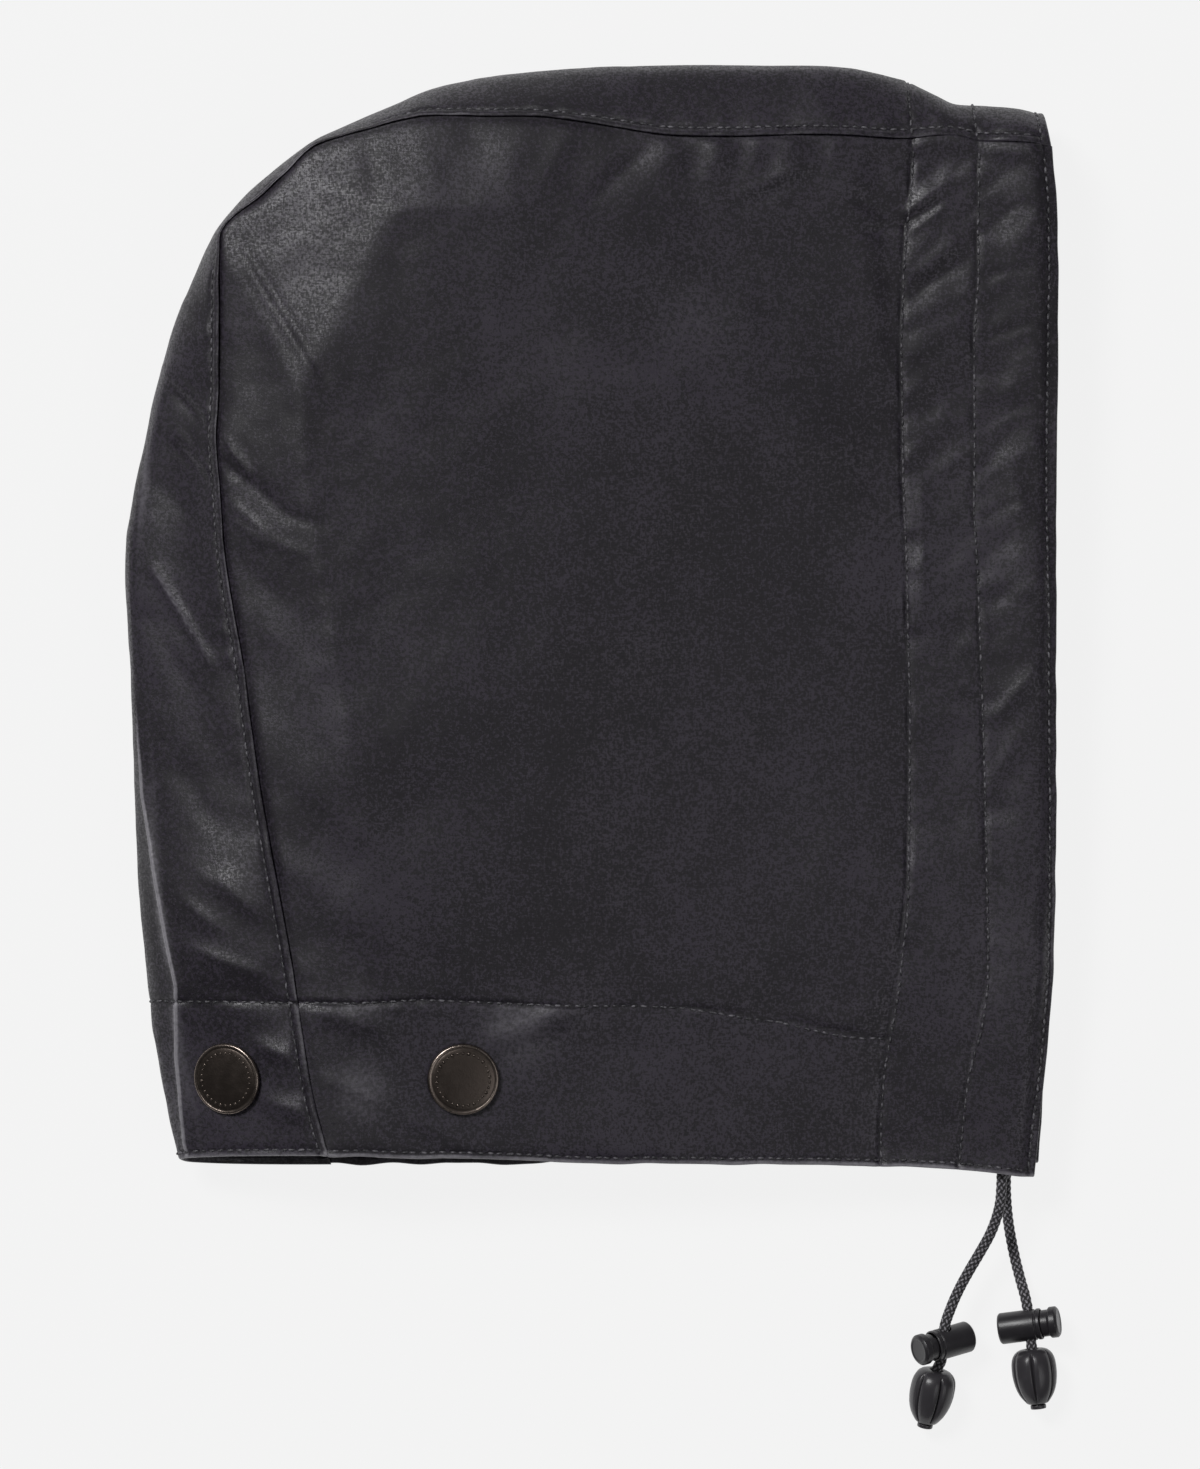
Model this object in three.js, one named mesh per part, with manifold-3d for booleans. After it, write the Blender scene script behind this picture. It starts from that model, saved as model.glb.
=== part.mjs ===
// A detachable rain hood of waxed cotton, lying on its side as it is laid on a table.
// Two side panels are joined by a gusset that runs from the forehead over the crown to the nape.
// A drawcord runs in a channel round the face and ends in two cord locks and two bell ends,
// and four press studs along the neck hem hold the hood to a collar.
// Millimetres, +X towards the face, +Y towards the crown, +Z up, the far panel on the ground.
import * as THREE from 'three';
import { mergeVertices } from 'three/addons/utils/BufferGeometryUtils.js';
import Module from 'manifold-3d';

const wasm = await Module();
wasm.setup();

// Hood
const hoodDepth = 261;
const hoodHeight = 311;
const hoodLoft = 48;
const cheekRise = 9;
const clothWall = 1;
const seamGap = 0.3;

// Hems and the cord channel
const neckHem = 43;
const frontHem = 42;
const channelWidth = 20.5;
const cordDiameter = 3;
const cordClearance = 0.3;

// Press studs
const studDiameter = 20;
const studHeight = 2.1;
const socketDiameter = 12.4;
const socketHeight = 2.8;
const postDiameter = 4;
const fitGap = 0.3;
const studAhead = 42;
const studBehind = 23.5;

// Cord locks
const lockDiameter = 8.8;
const barrelLength = 12.1;
const headLength = 2.6;
const stemDiameter = 6;
const pressTravel = 2;
const lockClearance = 0.35;
const crossFromRim = 3.6;

// Bell cord ends
const bellDiameter = 12.6;
const bellLength = 15.5;
const footWidth = 4.4;
const footLength = 1.5;
const cordSeat = 6;

const doubleWall = 2 * clothWall;
const channelGap = cordDiameter + 2 * cordClearance;
const channelDepth = channelGap + doubleWall;
const cordRadius = cordDiameter / 2;
const holeRadius = cordRadius + lockClearance;

// Seam stations from the front edge over the crown to the corner, and from the corner to the nape.
// along and up place the seam, ridgeAlong and ridgeUp the outermost line of the gusset beside it, as
// shares of hoodDepth and hoodHeight. rise is the near seam's height, droop is how far the gusset
// falls as it leaves that seam and lift how far it rises from the far one, as shares of hoodLoft.
const cornerStation = {
  along: -0.3938, up: 0.3479, ridgeAlong: -0.4080, ridgeUp: 0.3460, rise: 0.78, droop: 0.22, lift: 0.20,
};
const crownStations = [
  { along: 0.4925, up: 0.4253, ridgeAlong: 0.4861, ridgeUp: 0.4577, rise: 0.60, droop: 0.08, lift: 0.08 },
  { along: 0.4120, up: 0.4334, ridgeAlong: 0.4088, ridgeUp: 0.4653, rise: 0.62, droop: 0.08, lift: 0.08 },
  { along: 0.3391, up: 0.4329, ridgeAlong: 0.3369, ridgeUp: 0.4847, rise: 0.65, droop: 0.08, lift: 0.08 },
  { along: 0.2768, up: 0.4347, ridgeAlong: 0.2768, ridgeUp: 0.4973, rise: 0.69, droop: 0.09, lift: 0.09 },
  { along: 0.1524, up: 0.4334, ridgeAlong: 0.1524, ridgeUp: 0.5000, rise: 0.75, droop: 0.11, lift: 0.10 },
  { along: 0.0451, up: 0.4388, ridgeAlong: 0.0311, ridgeUp: 0.4977, rise: 0.78, droop: 0.12, lift: 0.10 },
  { along: -0.0547, up: 0.4505, ridgeAlong: -0.0815, ridgeUp: 0.4919, rise: 0.80, droop: 0.14, lift: 0.12 },
  { along: -0.1695, up: 0.4514, ridgeAlong: -0.1835, ridgeUp: 0.4757, rise: 0.81, droop: 0.18, lift: 0.16 },
  { along: -0.2393, up: 0.4388, ridgeAlong: -0.2586, ridgeUp: 0.4469, rise: 0.81, droop: 0.22, lift: 0.20 },
  { along: -0.3015, up: 0.4199, ridgeAlong: -0.3142, ridgeUp: 0.4245, rise: 0.80, droop: 0.22, lift: 0.20 },
  { along: -0.3498, up: 0.3803, ridgeAlong: -0.3680, ridgeUp: 0.3870, rise: 0.79, droop: 0.22, lift: 0.20 },
  cornerStation,
];
const backStations = [
  cornerStation,
  { along: -0.3959, up: 0.3164, ridgeAlong: -0.4260, ridgeUp: 0.3119, rise: 0.78, droop: 0.20, lift: 0.18 },
  { along: -0.3959, up: 0.2534, ridgeAlong: -0.4528, ridgeUp: 0.2525, rise: 0.77, droop: 0.18, lift: 0.15 },
  { along: -0.3981, up: 0.1904, ridgeAlong: -0.4732, ridgeUp: 0.1868, rise: 0.76, droop: 0.18, lift: 0.13 },
  { along: -0.3959, up: 0.1094, ridgeAlong: -0.4914, ridgeUp: 0.1094, rise: 0.75, droop: 0.19, lift: 0.12 },
  { along: -0.3766, up: -0.0077, ridgeAlong: -0.4979, ridgeUp: -0.0050, rise: 0.74, droop: 0.21, lift: 0.11 },
  { along: -0.3573, up: -0.1247, ridgeAlong: -0.4909, ridgeUp: -0.1220, rise: 0.73, droop: 0.25, lift: 0.10 },
  { along: -0.3315, up: -0.2471, ridgeAlong: -0.4844, ridgeUp: -0.2471, rise: 0.72, droop: 0.30, lift: 0.10 },
  { along: -0.3090, up: -0.3641, ridgeAlong: -0.4705, ridgeUp: -0.3677, rise: 0.70, droop: 0.34, lift: 0.10 },
  { along: -0.2800, up: -0.4793, ridgeAlong: -0.4431, ridgeUp: -0.4847, rise: 0.68, droop: 0.36, lift: 0.10 },
];

// The neck hem from the gusset to the face, and the front edge from the neck to the forehead.
// farUp is the far panel's hem, which shows a little below the near one at the back.
const chinStation = { along: 0.4764, up: -0.5000, farAlong: 0.4818, farUp: -0.4856, rise: 0.38 };
const hemStations = [
  { along: -0.2800, up: -0.4793, farAlong: -0.2800, farUp: -0.4905, rise: 0.68 },
  { along: -0.1159, up: -0.4829, farAlong: -0.1159, farUp: -0.4900, rise: 0.60 },
  { along: 0.1170, up: -0.4874, farAlong: 0.1170, farUp: -0.4856, rise: 0.52 },
  { along: 0.3101, up: -0.4892, farAlong: 0.3200, farUp: -0.4829, rise: 0.45 },
  { along: 0.4388, up: -0.4964, farAlong: 0.4400, farUp: -0.4840, rise: 0.40 },
  chinStation,
];
const faceStations = [
  chinStation,
  { along: 0.4893, up: -0.3857, farAlong: 0.4890, farUp: -0.3800, rise: 0.43 },
  { along: 0.4979, up: -0.2057, farAlong: 0.4970, farUp: -0.2057, rise: 0.48 },
  { along: 0.4979, up: 0.0194, farAlong: 0.4970, farUp: 0.0194, rise: 0.53 },
  { along: 0.4995, up: 0.2894, farAlong: 0.4985, farUp: 0.2894, rise: 0.57 },
  { along: 0.4925, up: 0.4253, farAlong: 0.4925, farUp: 0.4253, rise: 0.60 },
];

// Main folds of the near panel. Each runs between two points given as shares of hoodDepth and
// hoodHeight; spread is a share of hoodDepth and rise, negative for a valley, a share of hoodLoft.
const panelFolds = [
  { fromAlong: -0.36, fromUp: 0.33, toAlong: -0.27, toUp: 0.20, spread: 0.022, rise: -0.055 },
  { fromAlong: -0.34, fromUp: 0.36, toAlong: -0.23, toUp: 0.22, spread: 0.022, rise: 0.045 },
  { fromAlong: -0.38, fromUp: 0.13, toAlong: -0.30, toUp: 0.06, spread: 0.020, rise: 0.035 },
  { fromAlong: 0.28, fromUp: 0.36, toAlong: 0.33, toUp: 0.25, spread: 0.020, rise: -0.040 },
  { fromAlong: -0.08, fromUp: -0.34, toAlong: 0.02, toUp: -0.38, spread: 0.025, rise: 0.030 },
];
const foldTaper = 0.15;

// The cheek's loft begins and ends at these shares of the way along the hem and up the face.
const loft = {
  afterBackSeam: 0.15, belowCrown: 0.11, fallFrom: 0.3, fallOver: 0.6, aboveHem: 0.45, beforeFace: 0.1,
};

// Where the drawcord's free ends lie, as steps in millimetres from the channel's mouth: across to the
// face, up towards the crown and up from the ground. The cord passes its lock at the point named lock
// and enters its bell end at the point named bell.
const nearRoute = [
  { x: 0, y: 0, z: 0 },
  { x: -0.1, y: -3.6, z: -0.3 },
  { x: -0.4, y: -8.0, z: -1.2 },
  { x: -1.4, y: -12.4, z: -2.5 },
  { x: -3.2, y: -17.2, z: -3.9 },
  { x: -5.9, y: -22.2, z: -5.0 },
  { x: -8.8, y: -27.2, z: -5.8 },
  { x: -11.6, y: -32.3, z: -5.9 },
  { x: -14.0, y: -37.6, z: -5.5 },
  { x: -15.8, y: -42.9, z: -5.4 },
  { x: -16.2, y: -47.9, z: -6.7, at: 'lock' },
  { x: -16.7, y: -52.7, z: -8.0 },
  { x: -18.0, y: -55.4, z: -8.5, at: 'bell' },
  { x: -19.0, y: -60.4, z: -9.6 },
];
const farRoute = [
  { x: 0, y: 0, z: 0 },
  { x: 0, y: -3.6, z: -0.8 },
  { x: 0, y: -8.4, z: -2.2 },
  { x: 0.3, y: -13.4, z: -3.2 },
  { x: 0.9, y: -18.6, z: -3.7 },
  { x: 1.8, y: -23.8, z: -3.7 },
  { x: 2.9, y: -29.0, z: -3.3 },
  { x: 4.2, y: -34.2, z: -2.0 },
  { x: 5.4, y: -38.6, z: -0.4 },
  { x: 6.0, y: -41.8, z: 0.4 },
  { x: 6.5, y: -46.6, z: 0.9, at: 'lock' },
  { x: 7.0, y: -51.0, z: 1.3 },
  { x: 7.2, y: -53.2, z: 1.4, at: 'bell' },
  { x: 7.8, y: -58.4, z: 1.1 },
];
const nearLockAim = { turn: 194, tilt: 30 };
const farLockAim = { turn: 8, tilt: 12 };

// Sections beside the front edge: from the edge as shares of channelWidth, and how deep the outer and
// inner faces of the hem lie there as shares of channelDepth. The cord runs at one of them, and the
// channel closes at the last.
const frontSections = [
  { fromEdge: 0, outer: 0.5, inner: 0.5 },
  { fromEdge: 0.04, outer: 0.14, inner: 0.86 },
  { fromEdge: 0.15, outer: 0, inner: 1, tunnel: true },
  { fromEdge: 0.45, outer: 0, inner: 1, cord: true },
  { fromEdge: 0.68, outer: 0, inner: 1 },
  { fromEdge: 0.85, outer: 0, inner: 0.75 },
];
const cordSection = frontSections.findIndex((section) => section.cord);
const tunnelEnd = frontSections.length - 1;
const tunnelFront = frontSections.findIndex((section) => section.tunnel);
const edgeDistances = [
  ...frontSections.map((section) => section.fromEdge * channelWidth),
  channelWidth,
  (channelWidth + frontHem) / 2,
  frontHem,
  frontHem + clothWall,
];
const hemDistances = [0, neckHem / 3, neckHem * 2 / 3, neckHem, neckHem + clothWall];

const bodyColumns = 12;
const bodyRows = 12;
const columns = bodyColumns + edgeDistances.length - 1;
const rows = bodyRows + hemDistances.length - 1;
const acrossSteps = 10;
const stations = rows + columns;

const ease = (value) => THREE.MathUtils.smoothstep(value, 0, 1);
const spot = (along, up, height) => new THREE.Vector3(along * hoodDepth, up * hoodHeight, height);

// Closed, merged and facing out
function closedBody(geometry) {
  const bare = geometry.clone();
  bare.deleteAttribute('normal');
  bare.deleteAttribute('uv');
  const merged = mergeVertices(bare, 1e-4);
  const position = merged.getAttribute('position');
  const corners = merged.getIndex().array;
  const faces = [];
  const [a, b, c] = [new THREE.Vector3(), new THREE.Vector3(), new THREE.Vector3()];
  let volume = 0;
  for (let k = 0; k < corners.length; k += 3) {
    const face = [corners[k], corners[k + 1], corners[k + 2]];
    if (face[0] === face[1] || face[1] === face[2] || face[2] === face[0]) continue;
    a.fromBufferAttribute(position, face[0]);
    b.fromBufferAttribute(position, face[1]);
    c.fromBufferAttribute(position, face[2]);
    volume += a.dot(b.cross(c));
    faces.push(face);
  }
  const facing = volume < 0 ? faces.map(([p, q, r]) => [p, r, q]) : faces;
  merged.setIndex(facing.flat());
  merged.computeVertexNormals();
  return merged;
}

function toManifold(geometry) {
  return new wasm.Manifold(new wasm.Mesh({
    numProp: 3,
    vertProperties: Float32Array.from(geometry.getAttribute('position').array),
    triVerts: Uint32Array.from(geometry.getIndex().array),
  }));
}

function fromManifold(body) {
  const mesh = body.getMesh();
  const geometry = new THREE.BufferGeometry();
  geometry.setAttribute('position', new THREE.BufferAttribute(new Float32Array(mesh.vertProperties), 3));
  geometry.setIndex(Array.from(mesh.triVerts));
  return geometry;
}

function cut(geometry, cutters) {
  const solid = cutters.reduce((left, cutter) => left.subtract(toManifold(closedBody(cutter))),
    toManifold(geometry));
  return closedBody(fromManifold(solid));
}

// A rod for cutting a round hole along a direction
function holeRod(radius, length, centre, direction) {
  const rod = new THREE.CylinderGeometry(radius, radius, length, 16);
  const turn = new THREE.Quaternion().setFromUnitVectors(new THREE.Vector3(0, 1, 0), direction);
  rod.applyQuaternion(turn);
  rod.translate(centre.x, centre.y, centre.z);
  return rod;
}

// Distances from the front edge and from the neck hem
function fromFrontEdge(column, length) {
  const fromFront = columns - column;
  const fixed = edgeDistances.length - 1;
  if (fromFront <= fixed) return edgeDistances[fromFront];
  const wide = edgeDistances[fixed];
  return wide + (length - wide) * (fromFront - fixed) / bodyColumns;
}

function fromNeckHem(row, length) {
  const fixed = hemDistances.length - 1;
  if (row <= fixed) return hemDistances[row];
  const deep = hemDistances[fixed];
  return deep + (length - deep) * (row - fixed) / bodyRows;
}

const curveOf = (points) => new THREE.CatmullRomCurve3(points, false, 'centripetal');

// The far side lies on the ground and lifts along the neck hem by the height of its studs
const farLift = studHeight + 2 * fitGap;
const farLiftEnd = 1.2 * neckHem;
const hemLevel = hemStations[0].up * hoodHeight;
function farHeight(y) {
  return farLift * (1 - ease((y - hemLevel - farLiftEnd) / neckHem));
}

// Near seam, far seam, ridge and the gusset's rise and fall along one run of stations
function seamRun(table) {
  const near = curveOf(table.map((row) => spot(row.along, row.up, row.rise * hoodLoft)));
  const ridge = curveOf(table.map((row) => spot(row.ridgeAlong, row.ridgeUp, 0)));
  const slope = curveOf(table.map((row, k) => new THREE.Vector3(row.droop, row.lift, k)));
  return {
    length: near.getLength(),
    sample(distance) {
      const t = near.getUtoTmapping(0, distance);
      return { near: near.getPoint(t), ridge: ridge.getPoint(t), slope: slope.getPoint(t) };
    },
  };
}

const crown = seamRun(crownStations);
const back = seamRun(backStations);
const napeShift = (hemStations[0].farUp - hemStations[0].up) * hoodHeight;

// Seam samples from the nape to the front edge; the far seam falls below the near one at the nape
const seam = [];
for (let row = 0; row <= rows; row += 1) {
  seam.push(back.sample(back.length - fromNeckHem(row, back.length)));
}
for (let column = 1; column <= columns; column += 1) {
  seam.push(crown.sample(fromFrontEdge(column, crown.length)));
}
seam.forEach((station) => {
  const fade = 1 - ease((station.near.y - hemLevel) / (2 * neckHem));
  const far = station.near.clone();
  far.y += napeShift * fade;
  far.z = farHeight(far.y);
  station.far = far;
});

// Folds and loft added to the near panel
function foldRise(x, y) {
  return panelFolds.reduce((sum, fold) => {
    const from = spot(fold.fromAlong, fold.fromUp, 0);
    const to = spot(fold.toAlong, fold.toUp, 0);
    const here = new THREE.Vector3(x, y, 0);
    const run = new THREE.Line3(from, to);
    const t = run.closestPointToPointParameter(here, true);
    const away = run.at(t, new THREE.Vector3()).distanceTo(here);
    const across = Math.exp(-((away / (fold.spread * hoodDepth)) ** 2));
    const along = Math.sin(Math.PI * (foldTaper + (1 - 2 * foldTaper) * t));
    return sum + fold.rise * hoodLoft * across * along;
  }, 0);
}

function panelGrid(hemPoint, facePoint, seamPoint) {
  const hem = curveOf(hemStations.map(hemPoint));
  const face = curveOf(faceStations.map(facePoint));
  const hemLength = hem.getLength();
  const faceLength = face.getLength();
  const grid = [];
  for (let row = 0; row <= rows; row += 1) {
    const q = Math.min(fromNeckHem(row, faceLength) / faceLength, 1);
    const front = face.getPointAt(q);
    const line = [];
    for (let column = 0; column <= columns; column += 1) {
      const p = Math.max(1 - fromFrontEdge(column, hemLength) / hemLength, 0);
      const low = hem.getPointAt(p);
      const high = seamPoint(rows + column);
      const behind = seamPoint(row);
      const point = new THREE.Vector3();
      point.addScaledVector(low, 1 - q).addScaledVector(high, q);
      point.addScaledVector(behind, 1 - p).addScaledVector(front, p);
      point.addScaledVector(seamPoint(0), -(1 - p) * (1 - q)).addScaledVector(face.points[0], -p * (1 - q));
      point.addScaledVector(seamPoint(rows), -(1 - p) * q).addScaledVector(seamPoint(stations), -p * q);
      line.push({ point, p, q });
    }
    grid.push(line);
  }
  return grid;
}

const nearGrid = panelGrid(
  (row) => spot(row.along, row.up, row.rise * hoodLoft),
  (row) => spot(row.along, row.up, row.rise * hoodLoft),
  (k) => seam[k].near,
).map((line) => line.map(({ point, p, q }) => {
  const fromSeams = ease(p / loft.afterBackSeam) * ease((1 - q) / loft.belowCrown);
  const fall = 1 - ease((p - loft.fallFrom) / loft.fallOver);
  point.z += cheekRise * fromSeams * fall * ease(q / loft.aboveHem);
  point.z += foldRise(point.x, point.y) * fromSeams * ease((1 - p) / loft.beforeFace);
  return point;
}));

const farGrid = panelGrid(
  (row) => spot(row.farAlong, row.farUp, 0),
  (row) => spot(row.farAlong, row.farUp, 0),
  (k) => seam[k].far,
).map((line) => line.map(({ point }) => {
  point.z = farHeight(point.y);
  return point;
}));

// The gusset springs from the near seam, rounds its ridge and returns to the far seam. A curve with
// both handles at one reach passes at three quarters of it.
const handleShare = 0.75;
const gussetGrid = [];
for (let step = 0; step <= acrossSteps; step += 1) {
  gussetGrid.push(seam.map(({ near, far, ridge, slope }) => {
    const middle = near.clone().add(far).multiplyScalar(0.5);
    const out = ridge.clone().sub(middle).divideScalar(handleShare);
    const leaving = near.clone().add(out).setZ(near.z - slope.x * hoodLoft);
    const meeting = far.clone().add(out).setZ(far.z + slope.y * hoodLoft);
    return new THREE.CubicBezierCurve3(near, leaving, meeting, far).getPoint(step / acrossSteps);
  }));
}

// The cloth lies flat under a stud, and beyond it the seat fades out. The seat is found from the cloth
// around a point in plan.
const seatRadius = 0.8 * studDiameter;
const seatFade = 0.6 * studDiameter;
function studSeat(grid, x, y, firstRow, lastRow) {
  const normals = gridNormals(grid);
  const normal = new THREE.Vector3();
  const centre = new THREE.Vector3();
  let total = 0;
  const inReach = [];
  for (let row = firstRow; row <= lastRow; row += 1) {
    for (let k = 0; k < grid[row].length; k += 1) {
      const away = Math.hypot(grid[row][k].x - x, grid[row][k].y - y);
      if (away > seatRadius + seatFade) continue;
      const weight = Math.exp(-((away / (studDiameter / 2)) ** 2));
      normal.addScaledVector(normals[row][k], weight);
      centre.addScaledVector(grid[row][k], weight);
      total += weight;
      inReach.push(grid[row][k]);
    }
  }
  normal.normalize();
  centre.divideScalar(total);
  centre.z -= (normal.x * (x - centre.x) + normal.y * (y - centre.y)) / normal.z;
  centre.x = x;
  centre.y = y;
  inReach.forEach((point) => {
    const away = Math.hypot(point.x - x, point.y - y);
    const height = point.clone().sub(centre).dot(normal);
    point.addScaledVector(normal, -height * (1 - ease((away - seatRadius) / seatFade)));
  });
  return { centre, normal };
}

function gridNormals(grid) {
  const lastRow = grid.length - 1;
  const last = grid[0].length - 1;
  return grid.map((line, row) => line.map((point, k) => {
    const alongRow = line[Math.min(k + 1, last)].clone().sub(line[Math.max(k - 1, 0)]);
    const upRow = grid[Math.min(row + 1, lastRow)][k].clone().sub(grid[Math.max(row - 1, 0)][k]);
    return alongRow.cross(upRow).normalize();
  }));
}

// Stud places: half a hem above the neck hem, ahead of the back seam and behind it
const studY = hemLevel + neckHem / 2;
const seamAtStuds = back.sample(back.length - neckHem / 2).near;
const frontStudX = seamAtStuds.x + studAhead;
const backStudX = seamAtStuds.x - studBehind;

// The gusset is listed from its near seam, so its grid normals already point out of the hood;
// the far panel's are turned over to point down.
const lowHalf = acrossSteps / 2;
const seats = {
  near_front: studSeat(nearGrid, frontStudX, studY, 0, rows),
  far_front: studSeat(farGrid, frontStudX, studY, 0, rows),
  near_back: studSeat(gussetGrid, backStudX, studY, 1, lowHalf),
  far_back: studSeat(gussetGrid, backStudX, studY, lowHalf, acrossSteps - 1),
};
seats.far_front.normal.negate();

const nearNormals = gridNormals(nearGrid);
const farNormals = gridNormals(farGrid).map((line) => line.map((normal) => normal.negate()));
const gussetNormals = gridNormals(gussetGrid);

// Both cloths at a seam turn in along one shared direction, and part by the seam gap
const steepestLean = 0.75;
function mitre(panel, panelNormals, gussetRow, neighbourRow, panelPlace) {
  const line = gussetGrid[gussetRow];
  const joins = line.map((point, k) => {
    const [row, column] = panelPlace(k);
    const tangent = line[Math.min(k + 1, stations)].clone().sub(line[Math.max(k - 1, 0)]).normalize();
    const out = panelNormals[row][column].clone().add(gussetNormals[gussetRow][k]).normalize();
    const lean = Math.max(out.dot(panelNormals[row][column]), steepestLean);
    const across = tangent.cross(out).normalize();
    if (across.dot(gussetGrid[neighbourRow][k].clone().sub(point)) < 0) across.negate();
    return { row, column, point, across, inward: out.multiplyScalar(-1 / lean) };
  });
  joins.forEach(({ row, column, point, across, inward }, k) => {
    panel.face[row][column] = point.clone().addScaledVector(across, -seamGap / 2);
    panel.inward[row][column] = inward;
    gusset.face[gussetRow][k] = point.clone().addScaledVector(across, seamGap / 2);
    gusset.inward[gussetRow][k] = inward;
  });
}

const sheet = (grid, normals) => ({
  face: grid.map((line) => line.map((point) => point.clone())),
  inward: normals.map((line) => line.map((normal) => normal.clone().negate())),
});
const near = sheet(nearGrid, nearNormals);
const far = sheet(farGrid, farNormals);
const gusset = sheet(gussetGrid, gussetNormals);
const panelPlace = (k) => (k <= rows ? [k, 0] : [rows, k - rows]);
mitre(near, nearNormals, 0, 1, panelPlace);
mitre(far, farNormals, acrossSteps, acrossSteps - 1, panelPlace);
[far, gusset].forEach(({ face }) => face.flat().forEach((point) => point.setZ(Math.max(point.z, 0))));

// Depth of the outer and inner faces below the cloth's outer surface
function outerDepth(fromFront) {
  const section = frontSections[fromFront];
  return section ? section.outer * channelDepth : 0;
}

function innerDepth(fromFront, inNeckHem) {
  const section = frontSections[fromFront];
  if (section) return section.inner * channelDepth;
  const inFrontHem = fromFront < edgeDistances.length - 1;
  return inFrontHem || inNeckHem ? doubleWall : clothWall;
}

const inHem = (row) => row < hemDistances.length - 1;

// One cloth piece as a closed body with the cord channel's tunnel through its front hem
function clothBody({ face, inward }, inNeckHem) {
  const last = face[0].length - 1;
  const depthAt = (row, k, depth) => face[row][k].clone().addScaledVector(inward[row][k], depth);
  const outline = [];
  for (let k = 0; k <= last; k += 1) outline.push({ k, depth: () => outerDepth(last - k) });
  for (let k = last - 1; k >= 0; k -= 1) {
    outline.push({ k, depth: (row) => innerDepth(last - k, inNeckHem(row, k)) });
  }
  const tunnel = [];
  for (let section = tunnelFront; section < tunnelEnd; section += 1) {
    tunnel.push({ k: last - section, depth: () => clothWall });
  }
  tunnel.push({ k: last - tunnelEnd, depth: () => frontSections[tunnelEnd].inner * channelDepth / 2 });
  for (let section = tunnelEnd - 1; section >= tunnelFront; section -= 1) {
    tunnel.push({ k: last - section, depth: () => channelDepth - clothWall });
  }
  const positions = [];
  const faces = [];
  const rings = [outline, tunnel].map((loop) => face.map((_, row) => loop.map(({ k, depth }) => {
    positions.push(...depthAt(row, k, depth(row)).toArray());
    return positions.length / 3 - 1;
  })));
  rings.forEach((ring) => {
    for (let row = 0; row < ring.length - 1; row += 1) {
      const count = ring[row].length;
      for (let c = 0; c < count; c += 1) {
        const next = (c + 1) % count;
        faces.push(ring[row][c], ring[row][next], ring[row + 1][next]);
        faces.push(ring[row][c], ring[row + 1][next], ring[row + 1][c]);
      }
    }
  });
  // The ends are closed column by column, and around the tunnel's mouth as one flat outline
  const innerOf = (k) => 2 * last - k;
  const mouthStart = last - tunnelEnd - 1;
  [0, face.length - 1].forEach((row) => {
    const turn = (corners) => (row === 0 ? corners.reverse() : corners);
    const ends = rings[0][row];
    for (let k = 0; k < mouthStart; k += 1) {
      faces.push(...turn([ends[k], ends[k + 1], ends[innerOf(k + 1)]]));
      faces.push(...turn([ends[k], ends[innerOf(k + 1)], ends[innerOf(k)]]));
    }
    const flat = (loop) => loop.map(({ k, depth }) => new THREE.Vector2(k * channelDepth, depth(row)));
    const contour = flat(outline.slice(mouthStart, innerOf(mouthStart) + 1));
    const hole = flat(tunnel);
    const mouth = [...ends.slice(mouthStart, innerOf(mouthStart) + 1), ...rings[1][row]];
    const all = [...contour, ...hole];
    const sense = Math.sign(THREE.ShapeUtils.area(contour));
    THREE.ShapeUtils.triangulateShape(contour, [hole]).forEach((triangle) => {
      const area = THREE.ShapeUtils.area(triangle.map((corner) => all[corner]));
      const facing = Math.sign(area) === sense ? triangle : [triangle[0], triangle[2], triangle[1]];
      faces.push(...turn(facing.map((corner) => mouth[corner])));
    });
  });
  const geometry = new THREE.BufferGeometry();
  geometry.setAttribute('position', new THREE.Float32BufferAttribute(positions, 3));
  geometry.setIndex(faces);
  return closedBody(geometry);
}

const postHoleReach = 6 * doubleWall;
const postHole = ({ centre, normal }) => holeRod(postDiameter / 2 + fitGap, postHoleReach, centre, normal);
const gussetInHem = (row, k) => k < hemDistances.length - 1;
const clothGeometries = {
  near_panel: cut(clothBody(near, inHem), [postHole(seats.near_front)]),
  far_panel: cut(clothBody(far, inHem), [postHole(seats.far_front)]),
  gusset: cut(clothBody(gusset, gussetInHem), [postHole(seats.near_back), postHole(seats.far_back)]),
};

// A curve that is sampled at its own points
class RoutedCurve extends THREE.CatmullRomCurve3 {
  getPointAt(u, target) {
    return this.getPoint(u, target);
  }

  getTangentAt(u, target) {
    return this.getTangent(u, target);
  }
}

const cordSides = 8;
const cordShape = new THREE.Shape(Array.from({ length: cordSides }, (_, k) => {
  const angle = (k + 0.5) * 2 * Math.PI / cordSides;
  return new THREE.Vector2(cordRadius * Math.cos(angle), cordRadius * Math.sin(angle));
}));

function cordAlong(points) {
  const extrudePath = new RoutedCurve(points, false, 'centripetal');
  return closedBody(new THREE.ExtrudeGeometry(cordShape, {
    steps: points.length - 1,
    bevelEnabled: false,
    extrudePath,
  }));
}

// The cord runs in the middle of the channel, up the near panel, over the crown and down the far panel
const inChannel = ({ face, inward }, row) => {
  const k = face[row].length - 1 - cordSection;
  return face[row][k].clone().addScaledVector(inward[row][k], channelDepth / 2);
};
const channelRoute = [];
for (let row = 0; row < rows; row += 1) channelRoute.push(inChannel(near, row));
for (let row = 0; row <= acrossSteps; row += 1) channelRoute.push(inChannel(gusset, row));
for (let row = rows - 1; row >= 0; row -= 1) channelRoute.push(inChannel(far, row));

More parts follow.
